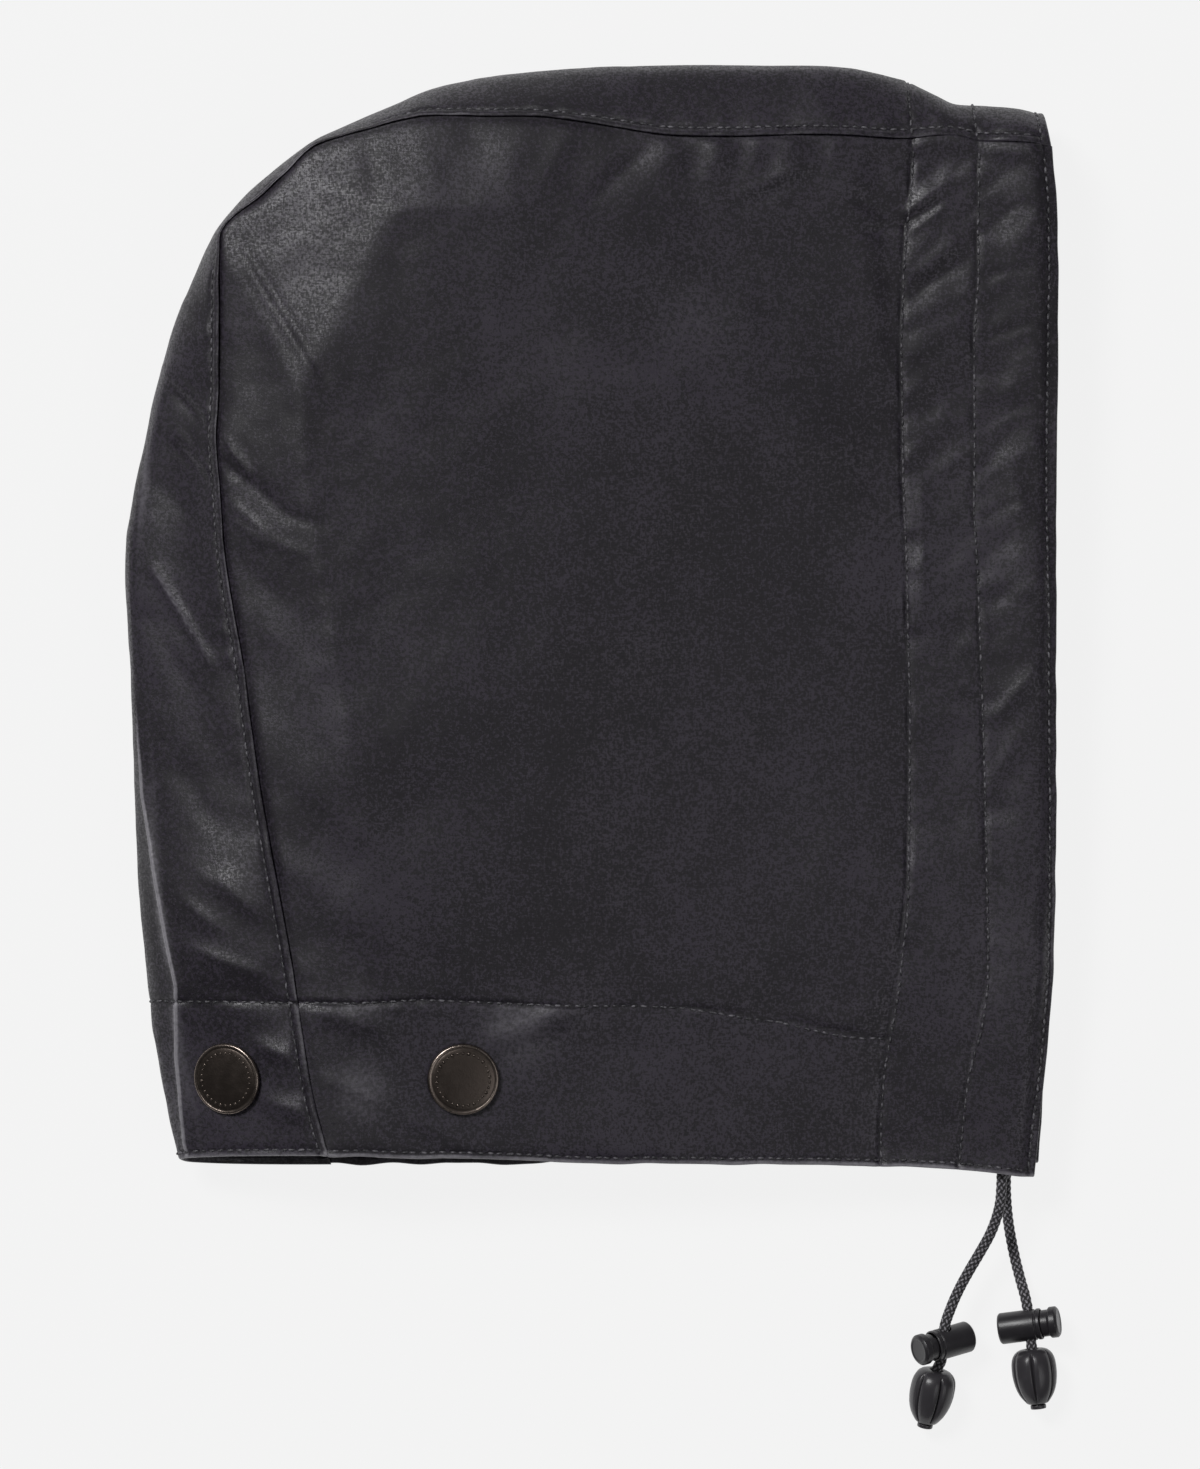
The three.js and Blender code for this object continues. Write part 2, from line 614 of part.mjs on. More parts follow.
// Free ends, locks and bell ends
function freeEnd(route, mouth) {
  const start = mouth.clone();
  start.y -= fitGap;
  const points = route.map(({ x, y, z }) => start.clone().add(new THREE.Vector3(x, y, z)));
  const curve = new RoutedCurve(points, false, 'centripetal');
  const place = (name) => {
    const k = route.findIndex((row) => row.at === name);
    return { point: points[k], heading: curve.getTangent(k / (points.length - 1)) };
  };
  const bell = place('bell');
  bell.heading = points[points.length - 1].clone().sub(bell.point).normalize();
  return { points, lock: place('lock'), bell };
}

const revolve = (profile, sides) => closedBody(new THREE.LatheGeometry(
  profile.map(([radius, height]) => new THREE.Vector2(radius, height)), sides));

// Axis y of the piece's own frame is turned to up, axis x as near as may be to side
function stand(mesh, place, up, side) {
  const x = side.clone().addScaledVector(up, -side.dot(up)).normalize();
  const z = new THREE.Vector3().crossVectors(x, up);
  mesh.quaternion.setFromRotationMatrix(new THREE.Matrix4().makeBasis(x, up, z));
  mesh.position.copy(place);
  return mesh;
}

const cloth = new THREE.MeshStandardMaterial({ color: 0x302e33, roughness: 0.55, metalness: 0 });
const braid = new THREE.MeshStandardMaterial({ color: 0x28262a, roughness: 0.8, metalness: 0 });
const satinPlastic = new THREE.MeshStandardMaterial({ color: 0x1d1b1e, roughness: 0.45, metalness: 0 });
const glossPlastic = new THREE.MeshStandardMaterial({ color: 0x1a181b, roughness: 0.2, metalness: 0 });
const darkBronze = new THREE.MeshStandardMaterial({ color: 0x332c27, roughness: 0.35, metalness: 0.9 });

const group = new THREE.Group();
group.name = 'detachable_hood';

function add(name, geometry, material) {
  const mesh = new THREE.Mesh(geometry, material);
  mesh.name = name;
  group.add(mesh);
  return mesh;
}

Object.entries(clothGeometries).forEach(([name, geometry]) => add(name, geometry, cloth));
add('drawcord', cordAlong(channelRoute), braid);

// Cord lock: a barrel with a blind bore, crossed by the cord's hole, and a plunger whose slotted stem
// grips the cord. Heights are from the middle of the cord's hole towards the plunger's head.
const barrelRim = crossFromRim;
const barrelFoot = crossFromRim - barrelLength;
const lockRadius = lockDiameter / 2;
const stemRadius = stemDiameter / 2;
const boreRadius = stemRadius + lockClearance;
const chamfer = 0.5;
const stemBelowSlot = 1.6;
const lockSides = 16;

function addLock(side, { point, heading }, { turn, tilt }) {
  const aim = THREE.MathUtils.degToRad(turn);
  const rise = THREE.MathUtils.degToRad(tilt);
  const level = Math.cos(rise);
  const axis = new THREE.Vector3(Math.cos(aim) * level, Math.sin(aim) * level, Math.sin(rise));
  const skew = Math.abs(axis.dot(heading));
  const slotReach = holeRadius + stemRadius * skew;
  const stemFoot = -slotReach - stemBelowSlot;
  const boreFoot = stemFoot - pressTravel - lockClearance;
  const headFoot = barrelRim + pressTravel + lockClearance;
  const barrel = revolve([
    [0, barrelFoot], [lockRadius - chamfer, barrelFoot], [lockRadius, barrelFoot + chamfer],
    [lockRadius, barrelRim - chamfer / 2], [lockRadius - chamfer / 2, barrelRim],
    [boreRadius, barrelRim], [boreRadius, boreFoot], [0, boreFoot],
  ], lockSides);
  const plunger = revolve([
    [0, stemFoot], [stemRadius, stemFoot], [stemRadius, headFoot], [lockRadius - chamfer / 2, headFoot],
    [lockRadius, headFoot + chamfer / 2], [lockRadius, headFoot + headLength - chamfer],
    [lockRadius - chamfer, headFoot + headLength], [0, headFoot + headLength],
  ], lockSides);
  const across = heading.clone().addScaledVector(axis, -heading.dot(axis)).normalize();
  const along = new THREE.Vector3(Math.sqrt(1 - skew ** 2), heading.dot(axis), 0);
  const hole = holeRod(holeRadius, 2 * lockDiameter, new THREE.Vector3(), along);
  const slot = new THREE.BoxGeometry(lockDiameter, 2 * slotReach + pressTravel, 2 * holeRadius);
  slot.translate(0, pressTravel / 2, 0);
  stand(add(`lock_${side}_barrel`, cut(barrel, [hole]), satinPlastic), point, axis, across);
  stand(add(`lock_${side}_plunger`, cut(plunger, [slot]), satinPlastic), point, axis, across);
}

// Bell end: six lobes that swell below the shoulder and close towards the foot. reach is a share of
// bellLength from the cord's side and size a share of the bell's radius.
const bellSections = [
  { reach: 0, size: 0.46 },
  { reach: 0.04, size: 0.66 },
  { reach: 0.13, size: 0.87 },
  { reach: 0.27, size: 0.98 },
  { reach: 0.40, size: 1.00 },
  { reach: 0.60, size: 0.93 },
  { reach: 0.78, size: 0.75 },
  { reach: 0.92, size: 0.52 },
  { reach: 1, size: 0.42 },
];
const bellLobes = 6;
const sidesPerLobe = 3;
const lobeDepth = 0.12;
const footNeckRadius = 0.35 * footWidth;
const footSeatDepth = 3;
const footSides = 8;

function bellGeometry() {
  const radius = bellDiameter / 2;
  const footSeat = footNeckRadius + fitGap;
  const profile = [
    [0, -cordSeat], [holeRadius, -cordSeat], [holeRadius, 0],
    ...bellSections.map(({ reach, size }) => [radius * size, -bellLength * reach]),
    [footSeat, -bellLength], [footSeat, footSeatDepth - bellLength], [0, footSeatDepth - bellLength],
  ];
  const bell = revolve(profile, bellLobes * sidesPerLobe);
  const position = bell.getAttribute('position');
  for (let k = 0; k < position.count; k += 1) {
    const x = position.getX(k);
    const z = position.getZ(k);
    const reach = -position.getY(k) / bellLength;
    const outside = Math.hypot(x, z) > footSeat + fitGap / 2;
    if (!outside || reach <= 0 || reach >= 1) continue;
    const valley = Math.max(0, Math.cos(bellLobes * Math.atan2(z, x))) * Math.sin(Math.PI * reach);
    position.setX(k, x * (1 - lobeDepth * valley));
    position.setZ(k, z * (1 - lobeDepth * valley));
  }
  return closedBody(bell);
}

function addBell(side, { point, heading }) {
  const up = heading.clone().negate();
  const level = new THREE.Vector3(1, 0, 0);
  const neckTop = footSeatDepth - 2 * fitGap - bellLength;
  const neckFoot = -bellLength - fitGap;
  const footRadius = footWidth / 2;
  const foot = revolve([
    [0, neckTop], [footNeckRadius, neckTop], [footNeckRadius, neckFoot],
    [footRadius, neckFoot], [footRadius, -bellLength - footLength], [0, -bellLength - footLength],
  ], footSides);
  stand(add(`bell_${side}`, bellGeometry(), glossPlastic), point, up, level);
  stand(add(`bell_${side}_foot`, foot, glossPlastic), point, up, level);
}

function addCordEnd(side, route, mouth, aim) {
  const end = freeEnd(route, mouth);
  add(`cord_${side}_end`, cordAlong(end.points), braid);
  addLock(side, end.lock, aim);
  addBell(side, end.bell);
}

addCordEnd('near', nearRoute, channelRoute[0], nearLockAim);
addCordEnd('far', farRoute, channelRoute[channelRoute.length - 1], farLockAim);

// Press stud: a domed cap with a rolled rim outside, its post through the cloth, and a socket inside
const capRadius = studDiameter / 2;
const postRadius = postDiameter / 2;
const socketRadius = socketDiameter / 2;
const postFoot = -doubleWall - 2 * fitGap - socketHeight / 3;
const rimRoll = 0.5;
const rimTop = 3 * rimRoll;
const domeEdge = 0.5 * capRadius;
const capProfile = [
  [0, postFoot], [postRadius, postFoot], [postRadius, 0],
  [capRadius - rimRoll, 0], [capRadius, rimRoll], [capRadius, 2 * rimRoll], [capRadius - rimRoll, rimTop],
  [capRadius - 2 * rimRoll, rimTop], [domeEdge, studHeight - fitGap / 2], [0, studHeight],
];
const socketMouth = 0.55 * socketRadius;
const socketLip = 0.5;
const socketFloor = -socketHeight / 2;
const postClear = postRadius + fitGap;
const socketProfile = [
  [postClear, 0], [socketRadius, 0], [socketRadius, socketLip - socketHeight],
  [socketRadius - socketLip, -socketHeight], [socketMouth, -socketHeight],
  [socketMouth + socketLip, socketFloor], [postClear, socketFloor], [postClear, 0],
];
const capSides = 16;
const socketSides = 12;

Object.entries(seats).forEach(([side, { centre, normal }]) => {
  const capPlace = centre.clone().addScaledVector(normal, fitGap);
  const socketPlace = centre.clone().addScaledVector(normal, -doubleWall - fitGap);
  const level = new THREE.Vector3(1, 0, 0);
  const cap = add(`stud_${side}_cap`, revolve(capProfile, capSides), darkBronze);
  const socket = add(`stud_${side}_socket`, revolve(socketProfile, socketSides), darkBronze);
  stand(cap, capPlace, normal, level);
  stand(socket, socketPlace, normal, level);
});

export default group;
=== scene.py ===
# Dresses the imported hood: waxed cotton lying on its side, with its drawcord, cord locks, bell ends
# and press studs. Lengths in the tables are millimetres in the part's own frame.
import math

import bpy
import numpy as np
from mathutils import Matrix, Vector


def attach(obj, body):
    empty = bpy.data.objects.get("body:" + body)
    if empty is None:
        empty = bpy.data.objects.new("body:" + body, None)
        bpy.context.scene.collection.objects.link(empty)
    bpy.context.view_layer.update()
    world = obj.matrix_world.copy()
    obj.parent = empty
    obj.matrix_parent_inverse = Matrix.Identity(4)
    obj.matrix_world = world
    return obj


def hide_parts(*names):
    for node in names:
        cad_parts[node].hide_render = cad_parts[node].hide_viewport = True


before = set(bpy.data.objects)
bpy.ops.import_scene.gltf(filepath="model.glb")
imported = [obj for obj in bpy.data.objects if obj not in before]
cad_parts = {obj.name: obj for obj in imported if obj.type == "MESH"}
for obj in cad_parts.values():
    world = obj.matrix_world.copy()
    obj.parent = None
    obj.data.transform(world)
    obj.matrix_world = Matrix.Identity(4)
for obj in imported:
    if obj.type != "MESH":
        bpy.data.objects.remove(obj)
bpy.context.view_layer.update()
print("frame:", len(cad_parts), "nodes")

scene = bpy.context.scene
toMetres = 0.001

# The camera looks straight down at the table
cameraPlace = {"x": 2.52, "y": -31.64, "z": 3015, "lens": 262.6, "sensor": 36}
cameraData = bpy.data.cameras.new("tableCamera")
cameraData.lens = cameraPlace["lens"]
cameraData.sensor_width = cameraPlace["sensor"]
cameraData.clip_end = 30
camera = bpy.data.objects.new("tableCamera", cameraData)
camera.location = Vector((cameraPlace["x"], cameraPlace["y"], cameraPlace["z"])) * toMetres
scene.collection.objects.link(camera)
scene.camera = camera


curveSteps = 24


def smoothRun(points):  # a centripetal curve through the points, as a dense line
    rows = np.array(points, float)
    rows = np.vstack([2 * rows[0] - rows[1], rows, 2 * rows[-1] - rows[-2]])
    share = np.arange(curveSteps)[:, None] / curveSteps
    line = []
    for before, start, end, after in zip(rows, rows[1:], rows[2:], rows[3:]):
        gaps = [max(np.linalg.norm((b - a)[:3]), 1e-6) ** 0.5
                for a, b in ((before, start), (start, end), (end, after))]
        leave = ((start - before) / gaps[0] - (end - before) / (gaps[0] + gaps[1])
                 + (end - start) / gaps[1]) * gaps[1]
        arrive = ((end - start) / gaps[1] - (after - start) / (gaps[1] + gaps[2])
                  + (after - end) / gaps[2]) * gaps[1]
        line.append(start + leave * share + (3 * (end - start) - 2 * leave - arrive) * share ** 2
                    + (2 * (start - end) + leave + arrive) * share ** 3)
    return np.vstack([*line, rows[-2]])


def lengths(line):  # how far along the line each of its points lies
    steps = np.linalg.norm(np.diff(line[:, :3], axis=0), axis=1)
    return np.concatenate([[0], np.cumsum(steps)])


def along(line, distance, reach=None):  # rows of the line at these distances
    reach = lengths(line) if reach is None else reach
    return np.stack([np.interp(distance, reach, line[:, k]) for k in range(line.shape[1])], -1)


def unit(rows):
    return rows / np.maximum(np.linalg.norm(rows, axis=-1, keepdims=True), 1e-9)


def ease(value):
    value = np.clip(value, 0, 1)
    return value * value * (3 - 2 * value)


def lattice(x, y, seed):  # repeatable numbers from -1 to 1 on whole coordinates
    mixed = np.sin(x * 127.1 + y * 311.7 + seed * 74.7) * 43758.5453
    return 2 * (mixed - np.floor(mixed)) - 1


def ripple(x, y, cell, seed, turn=0.0, stretch=1.0):  # smooth unevenness with cells of this size
    cosine, sine = math.cos(math.radians(turn)), math.sin(math.radians(turn))
    across, down = (x * cosine + y * sine) / (cell * stretch), (y * cosine - x * sine) / cell
    left, low = np.floor(across), np.floor(down)
    shareX, shareY = ease(across - left), ease(down - low)
    lower = lattice(left, low, seed) * (1 - shareX) + lattice(left + 1, low, seed) * shareX
    upper = lattice(left, low + 1, seed) * (1 - shareX) + lattice(left + 1, low + 1, seed) * shareX
    return lower * (1 - shareY) + upper * shareY


def fitPiece(name, points, faces, finish, body="hood", stands=(), values=None):
    mesh = bpy.data.meshes.new(name)
    mesh.from_pydata((np.asarray(points) * toMetres).tolist(), [], np.asarray(faces).tolist()
                     if isinstance(faces, np.ndarray) else faces)
    mesh.update()
    for key, (kind, rows) in (values or {}).items():
        made = mesh.attributes.new(key, kind, "POINT")
        field = "vector" if kind == "FLOAT_VECTOR" else "value"
        made.data.foreach_set(field, np.asarray(rows, np.float32).ravel())
    mesh.shade_smooth()
    mesh.materials.append(finish)
    fitted = bpy.data.objects.new(name, mesh)
    scene.collection.objects.link(fitted)
    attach(fitted, body)
    if stands:
        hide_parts(*stands)
    return fitted


class Shade:  # one output of a shader node, so that finishes are written as sums
    def __init__(self, tree, socket=None):
        self.tree = tree
        self.socket = socket

    def node(self, kind, settings=None, inputs=None, output=0):
        made = self.tree.nodes.new(kind)
        for key, value in (settings or {}).items():
            if key == "stops":
                while len(made.color_ramp.elements) < len(value):
                    made.color_ramp.elements.new(0.5)
                for stop, (position, colour) in zip(made.color_ramp.elements, value):
                    stop.position = position
                    stop.color = colour
            else:
                setattr(made, key, value)
        for key, value in (inputs or {}).items():
            if isinstance(value, Shade):
                self.tree.links.new(value.socket, made.inputs[key])
            else:
                made.inputs[key].default_value = value
        return Shade(self.tree, made.outputs[output])

    def calc(self, operation, first, second=0.0):
        return self.node("ShaderNodeMath", {"operation": operation}, {0: first, 1: second})

    def __add__(self, other):
        return self.calc("ADD", self, other)

    __radd__ = __add__

    def __mul__(self, other):
        return self.calc("MULTIPLY", self, other)

    def __sub__(self, other):
        return self.calc("SUBTRACT", self, other)

    def __rsub__(self, other):
        return self.calc("SUBTRACT", other, self)

    def between(self, low, high):  # 0 at low, 1 at high, eased
        return self.node("ShaderNodeMapRange", {"interpolation_type": "SMOOTHSTEP"},
                         {"Value": self, "From Min": low, "From Max": high})

    def blend(self, low, high):  # the colour between low and high at this share
        return self.node("ShaderNodeMix", {"data_type": "RGBA"}, {0: self, 6: low, 7: high}, 2)

    def scaled(self, across, along):  # this place with its x and y stretched
        return self.node("ShaderNodeVectorMath", {"operation": "MULTIPLY"},
                         {0: self, 1: (across, along, 1)})

    def grain(self, size, detail=2.0, rough=0.5):  # noise at this place with grains of size mm
        return self.node("ShaderNodeTexNoise", {"noise_dimensions": "3D"},
                         {"Vector": self, "Scale": 1000 / size, "Detail": detail, "Roughness": rough})


def newFinish(name, settings):
    finish = bpy.data.materials.new(name)
    finish.use_nodes = True
    shader = finish.node_tree.nodes["Principled BSDF"]
    for key, value in settings.items():
        shader.inputs[key].default_value = value
    place = Shade(finish.node_tree).node("ShaderNodeTexCoord", output=3)
    return finish, shader, place


def feed(finish, shader, **sockets):
    names = {"colour": "Base Color", "roughness": "Roughness", "normal": "Normal"}
    for key, value in sockets.items():
        finish.node_tree.links.new(value.socket, shader.inputs[names[key]])


def bumpOf(height):  # relief in millimetres
    return height.node("ShaderNodeBump", {}, {"Strength": 1.0, "Distance": toMetres, "Height": height})


# Waxed cotton: nearly black, with a dry crumpled grain, paler where it is rubbed and where pale patches are
# painted as light, darker along the sewn lines as painted shade
waxedCotton = {
    "deep": (0.0070, 0.0052, 0.0090, 1), "dry": (0.0330, 0.0272, 0.0400, 1),
    "paleWornAndLit": (0.2500, 0.2400, 0.2650, 1), "grain": 1.3, "cloud": 16.0, "patch": 45.0,
    "weave": 0.46, "weaveRelief": 0.008, "nap": 0.75, "napRelief": 0.036, "slubRelief": 0.02,
    "roughLow": 0.36, "roughHigh": 0.62,
    "dryness": 0.27, "byGrain": 3.2, "byNap": 4.6, "byCloud": 1.3, "byPatch": 1.5, "bySlub": 1.4,
    "byTone": 0.9, "slub": 0.7, "slubStretch": (1.9, 0.35),
}


def cottonFinish(name, look):
    finish, shader, place = newFinish(name, {"Specular IOR Level": 0.5})
    fine = place.grain(look["grain"], 3.0, 0.62)
    cloud = place.grain(look["cloud"], 3.0, 0.55)
    patch = place.grain(look["patch"], 2.0, 0.5)
    rub = place.node("ShaderNodeAttribute", {"attribute_name": "rub"}, output=2)
    threads = place.node("ShaderNodeAttribute", {"attribute_name": "threads"}, output=1)
    turn = 2 * math.pi / look["weave"]
    warp = threads.node("ShaderNodeSeparateXYZ", {}, {0: threads}, 0)
    weft = threads.node("ShaderNodeSeparateXYZ", {}, {0: threads}, 1)
    weave = warp.calc("SINE", warp * turn) * warp.calc("SINE", weft * turn)
    nap = place.grain(look["nap"], 2.0, 0.6)
    thin, long = look["slubStretch"]
    slubGrain = 1000 * look["slub"]
    warpSlubs = threads.scaled(long, thin).grain(slubGrain)
    weftSlubs = threads.scaled(thin, long).grain(slubGrain)
    # The tone shift carries wear, pale patches painted as light, and painted shade along the sewn lines
    dry = ((fine - 0.5) * look["byGrain"] + (nap - 0.5) * look["byNap"]
           + (cloud - 0.5) * look["byCloud"] + (patch - 0.5) * look["byPatch"]
           + look["dryness"] + rub * look["byTone"] + (warpSlubs + weftSlubs - 1.0) * look["bySlub"])
    dryShare = dry.between(0.05, 0.95)
    paled = (rub * (0.45 + fine * 0.9)).between(0.12, 1.05)
    colour = paled.blend(dryShare.blend(look["deep"], look["dry"]), look["paleWornAndLit"])
    sheen = (warpSlubs + weftSlubs - 1.0) * 1.7 + (nap - 0.5) * 2.2 + (cloud - 0.5) * 0.5 + 0.5
    roughness = sheen.between(0, 1) * (look["roughLow"] - look["roughHigh"]) + look["roughHigh"]
    relief = (nap * look["napRelief"] + weave * look["weaveRelief"]
              + (warpSlubs + weftSlubs) * look["slubRelief"])
    feed(finish, shader, colour=colour, roughness=roughness, normal=bumpOf(relief))
    return finish


cottonCloth = cottonFinish("waxedCotton", waxedCotton)

# Sewing thread, a little paler and shinier than the cloth
threadLook = {"deep": (0.030, 0.029, 0.033, 1), "lit": (0.17, 0.162, 0.182, 1), "ply": 0.5}


def threadFinish(name, look):
    finish, shader, place = newFinish(name, {"Specular IOR Level": 0.5})
    fleck = place.grain(1.9, 2.0, 0.6)
    ply = place.grain(look["ply"], 1.0, 0.5)
    share = ((fleck - 0.5) * 2.6 + (ply - 0.5) * 0.8 + 0.32).between(0, 1)
    colour = share.blend(look["deep"], look["lit"])
    feed(finish, shader, colour=colour, roughness=share * 0.2 + 0.42, normal=bumpOf(ply * 0.05))
    return finish


sewingThread = threadFinish("sewingThread", threadLook)

# Braided polyester cord: the strands' crests are painted pale as highlights and the hollows between them
# dark as painted shade, with random flecks
braidLook = {"deep": (0.016, 0.015, 0.0175, 1), "lit": (0.27, 0.26, 0.285, 1), "fleck": 1.0,
             "crest": 0.70, "contrast": 3.2, "flecked": 1.2, "pale": 0.16}


def braidFinish(name, look):
    finish, shader, place = newFinish(name, {"Specular IOR Level": 0.5, "Sheen Weight": 0.1})
    fleck = place.grain(look["fleck"], 2.0, 0.6)
    height = place.node("ShaderNodeAttribute", {"attribute_name": "strand"}, output=2)
    fibre = place.grain(0.25, 1.0, 0.5)
    share = ((height - look["crest"]) * look["contrast"] + (fleck - 0.5) * look["flecked"]
             + look["pale"]).between(0, 1)
    colour = share.blend(look["deep"], look["lit"])
    feed(finish, shader, colour=colour, roughness=0.78 - share * 0.2,
         normal=bumpOf(fibre * 0.06))
    return finish


cordBraid = braidFinish("cordBraid", braidLook)


# Moulded plastic: satin on the locks, glossy on the bells
def plasticFinish(name, base, rough, spread, grainRelief):
    finish, shader, place = newFinish(name, {"Specular IOR Level": 0.5})
    haze = place.grain(5.0, 3.0, 0.6)
    skin = place.grain(0.35, 1.0, 0.5)
    scuff = place.grain(1.2, 4.0, 0.7).between(0.60, 0.78)
    pale = tuple(min(1.0, 2.6 * part + 0.006) for part in base[:3]) + (1,)
    share = (haze - 0.5) * 0.6 + scuff * 0.35 + 0.12
    colour = share.between(0, 1).blend(base, pale)
    feed(finish, shader, colour=colour, roughness=(haze - 0.5) * spread + scuff * 0.12 + rough,
         normal=bumpOf(skin * grainRelief))
    return finish


lockPlastic = plasticFinish("lockPlastic", (0.0205, 0.0190, 0.0220, 1), 0.36, 0.12, 0.02)
bellPlastic = plasticFinish("bellPlastic", (0.0370, 0.0345, 0.0390, 1), 0.32, 0.12, 0.008)


# Darkened bronze of the press studs, rubbed bright on the rims
def bronzeFinish(name, dark, bright, rough):
    finish, shader, place = newFinish(name, {"Metallic": 1.0})
    mottle = place.grain(2.4, 4.0, 0.65)
    pits = place.grain(0.5, 2.0, 0.6)
    rub = place.node("ShaderNodeAttribute", {"attribute_name": "rub"}, output=2)
    share = ((mottle - 0.5) * 0.7 + rub * 0.95 + (pits - 0.5) * 0.25).between(0.05, 1.0)
    colour = share.blend(dark, bright)
    feed(finish, shader, colour=colour, roughness=(mottle - 0.5) * 0.2 - rub * 0.1 + rough,
         normal=bumpOf(pits * 0.03 + mottle * 0.04))
    return finish


capBronze = bronzeFinish("capBronze", (0.098, 0.080, 0.070, 1), (0.30, 0.25, 0.22, 1), 0.36)
socketBronze = bronzeFinish("socketBronze", (0.060, 0.048, 0.040, 1), (0.42, 0.36, 0.31, 1), 0.38)
print("finishes: cloth, thread, braid, plastics and bronze")

# Free ends of the drawcord, from the channel's mouths
cordLook = {"diameter": 3.0, "sides": 48, "step": 0.24, "strands": 6, "lay": 1.9, "strandRise": 0.34}
nearRoute = [
    (114.99, -154.53, 16.36), (114.89, -158.13, 16.06), (114.59, -162.53, 15.16),
    (113.59, -166.93, 13.86), (111.79, -171.73, 12.46), (109.09, -176.73, 11.36),
    (106.19, -181.73, 10.56), (103.39, -186.83, 10.46), (100.99, -192.13, 10.86),
    (99.19, -197.43, 10.96), (98.79, -202.43, 9.66), (98.29, -207.23, 8.36),
    (96.99, -209.93, 7.86), (95.99, -214.93, 6.76),
]
farRoute = [
    (116.54, -150.88, 5.5), (116.54, -154.48, 4.7), (116.54, -159.28, 3.3), (116.84, -164.28, 2.3),
    (117.44, -169.48, 1.8), (118.34, -174.68, 1.8), (119.44, -179.88, 2.2), (120.74, -185.08, 3.5),
    (121.94, -189.48, 5.1), (122.54, -192.68, 5.9), (123.04, -197.48, 6.4), (123.54, -201.88, 6.8),
    (123.74, -204.08, 6.9), (124.34, -209.28, 6.6),
]


def closedTube(rings, sides):  # quads round a run of rings, with fans on its two ends
    start = np.arange(rings - 1)[:, None] * sides + np.arange(sides)[None, :]
    turn = np.arange(rings - 1)[:, None] * sides + (np.arange(sides)[None, :] + 1) % sides
    faces = np.stack([start, turn, turn + sides, start + sides], -1).reshape(-1, 4).tolist()
    first, last = rings * sides, rings * sides + 1
    tail = (rings - 1) * sides
    faces += [[first, (k + 1) % sides, k] for k in range(sides)]
    faces += [[last, tail + k, tail + (k + 1) % sides] for k in range(sides)]
    return faces


def ringFrames(line):  # two directions across the line at each of its points, without twist
    heading = unit(np.gradient(line, axis=0))
    side = np.cross(heading[0], (0, 0, 1))
    sides = []
    for direction in heading:
        side = side - direction * side.dot(direction)
        side = side / np.linalg.norm(side)
        sides.append(side)
    sides = np.array(sides)
    return sides, np.cross(heading, sides)


def braidedCord(name, route, look, stands):
    dense = smoothRun(route)
    reach = lengths(dense)
    distance = np.linspace(0, reach[-1], int(reach[-1] / look["step"]) + 1)
    line = along(dense, distance, reach)
    side, up = ringFrames(line)
    sides = look["sides"]
    angle = 2 * math.pi * np.arange(sides) / sides
    turn = look["strands"] * angle[None, :] / (2 * math.pi)
    first, second = turn + distance[:, None] / look["lay"], turn - distance[:, None] / look["lay"]
    crossing = 0.25 * np.sin(math.pi * first) * np.sin(math.pi * second)
    rise = np.maximum(np.abs(np.sin(math.pi * first)) ** 0.7 * (0.75 + crossing),
                      np.abs(np.sin(math.pi * second)) ** 0.7 * (0.75 - crossing))
    radius = look["diameter"] / 2 + look["strandRise"] * (rise - 0.85)
    points = (line[:, None] + radius[..., None] * (side[:, None] * np.cos(angle)[None, :, None]
                                                   + up[:, None] * np.sin(angle)[None, :, None]))
    points = np.vstack([points.reshape(-1, 3), line[0], line[-1]])
    strand = np.concatenate([rise.ravel(), [0, 0]])
    fitted = fitPiece(name, points, closedTube(len(distance), sides), cordBraid,
                      stands=stands, values={"strand": ("FLOAT", strand)})
    return fitted, line, float(reach[-1])


nearCord, nearLine, nearLength = braidedCord("near_cord_end", nearRoute, cordLook, ["cord_near_end"])
farCord, farLine, farLength = braidedCord("far_cord_end", farRoute, cordLook, ["cord_far_end"])
print(f"cords: near end {nearLength:.1f} mm, far end {farLength:.1f} mm")


def turned(profile, sides):  # a turned form about z, with a pole where its radius is nothing
    points, faces, rings = [], [], []
    for radius, height in profile:
        if radius < 1e-6:
            points.append((0, 0, height))
            rings.append([len(points) - 1] * sides)
            continue
        first = len(points)
        for k in range(sides):
            angle = 2 * math.pi * k / sides
            points.append((radius * math.cos(angle), radius * math.sin(angle), height))
        rings.append(list(range(first, first + sides)))
    for lower, upper in zip(rings, rings[1:]):
        for k in range(sides):
            face = [lower[k], lower[(k + 1) % sides], upper[(k + 1) % sides], upper[k]]
            face = [corner for i, corner in enumerate(face) if corner != face[i - 1]]
            if len(face) > 2:
                faces.append(face)
    return np.array(points, float), faces


def rounded(corners, radius=0.25, steps=4):  # a profile with its inner corners rounded
    rows = [np.array(corner, float) for corner in corners]
    profile = [rows[0]]
    for before, here, after in zip(rows, rows[1:], rows[2:]):
        arriving, leaving = before - here, after - here
        room = min(radius, 0.45 * np.linalg.norm(arriving), 0.45 * np.linalg.norm(leaving))
        start = here + unit(arriving) * room
        end = here + unit(leaving) * room
        for k in range(steps + 1):
            share = k / steps
            profile.append((1 - share) ** 2 * start + 2 * share * (1 - share) * here + share ** 2 * end)
    profile.append(rows[-1])
    return profile


def stood(points, place, up, side):  # z turned to up, x as near as may be to side
    up = unit(np.array(up, float))
    side = np.array(side, float)
    side = unit(side - up * side.dot(up))
    return points @ np.stack([side, np.cross(up, side), up]) + np.array(place)


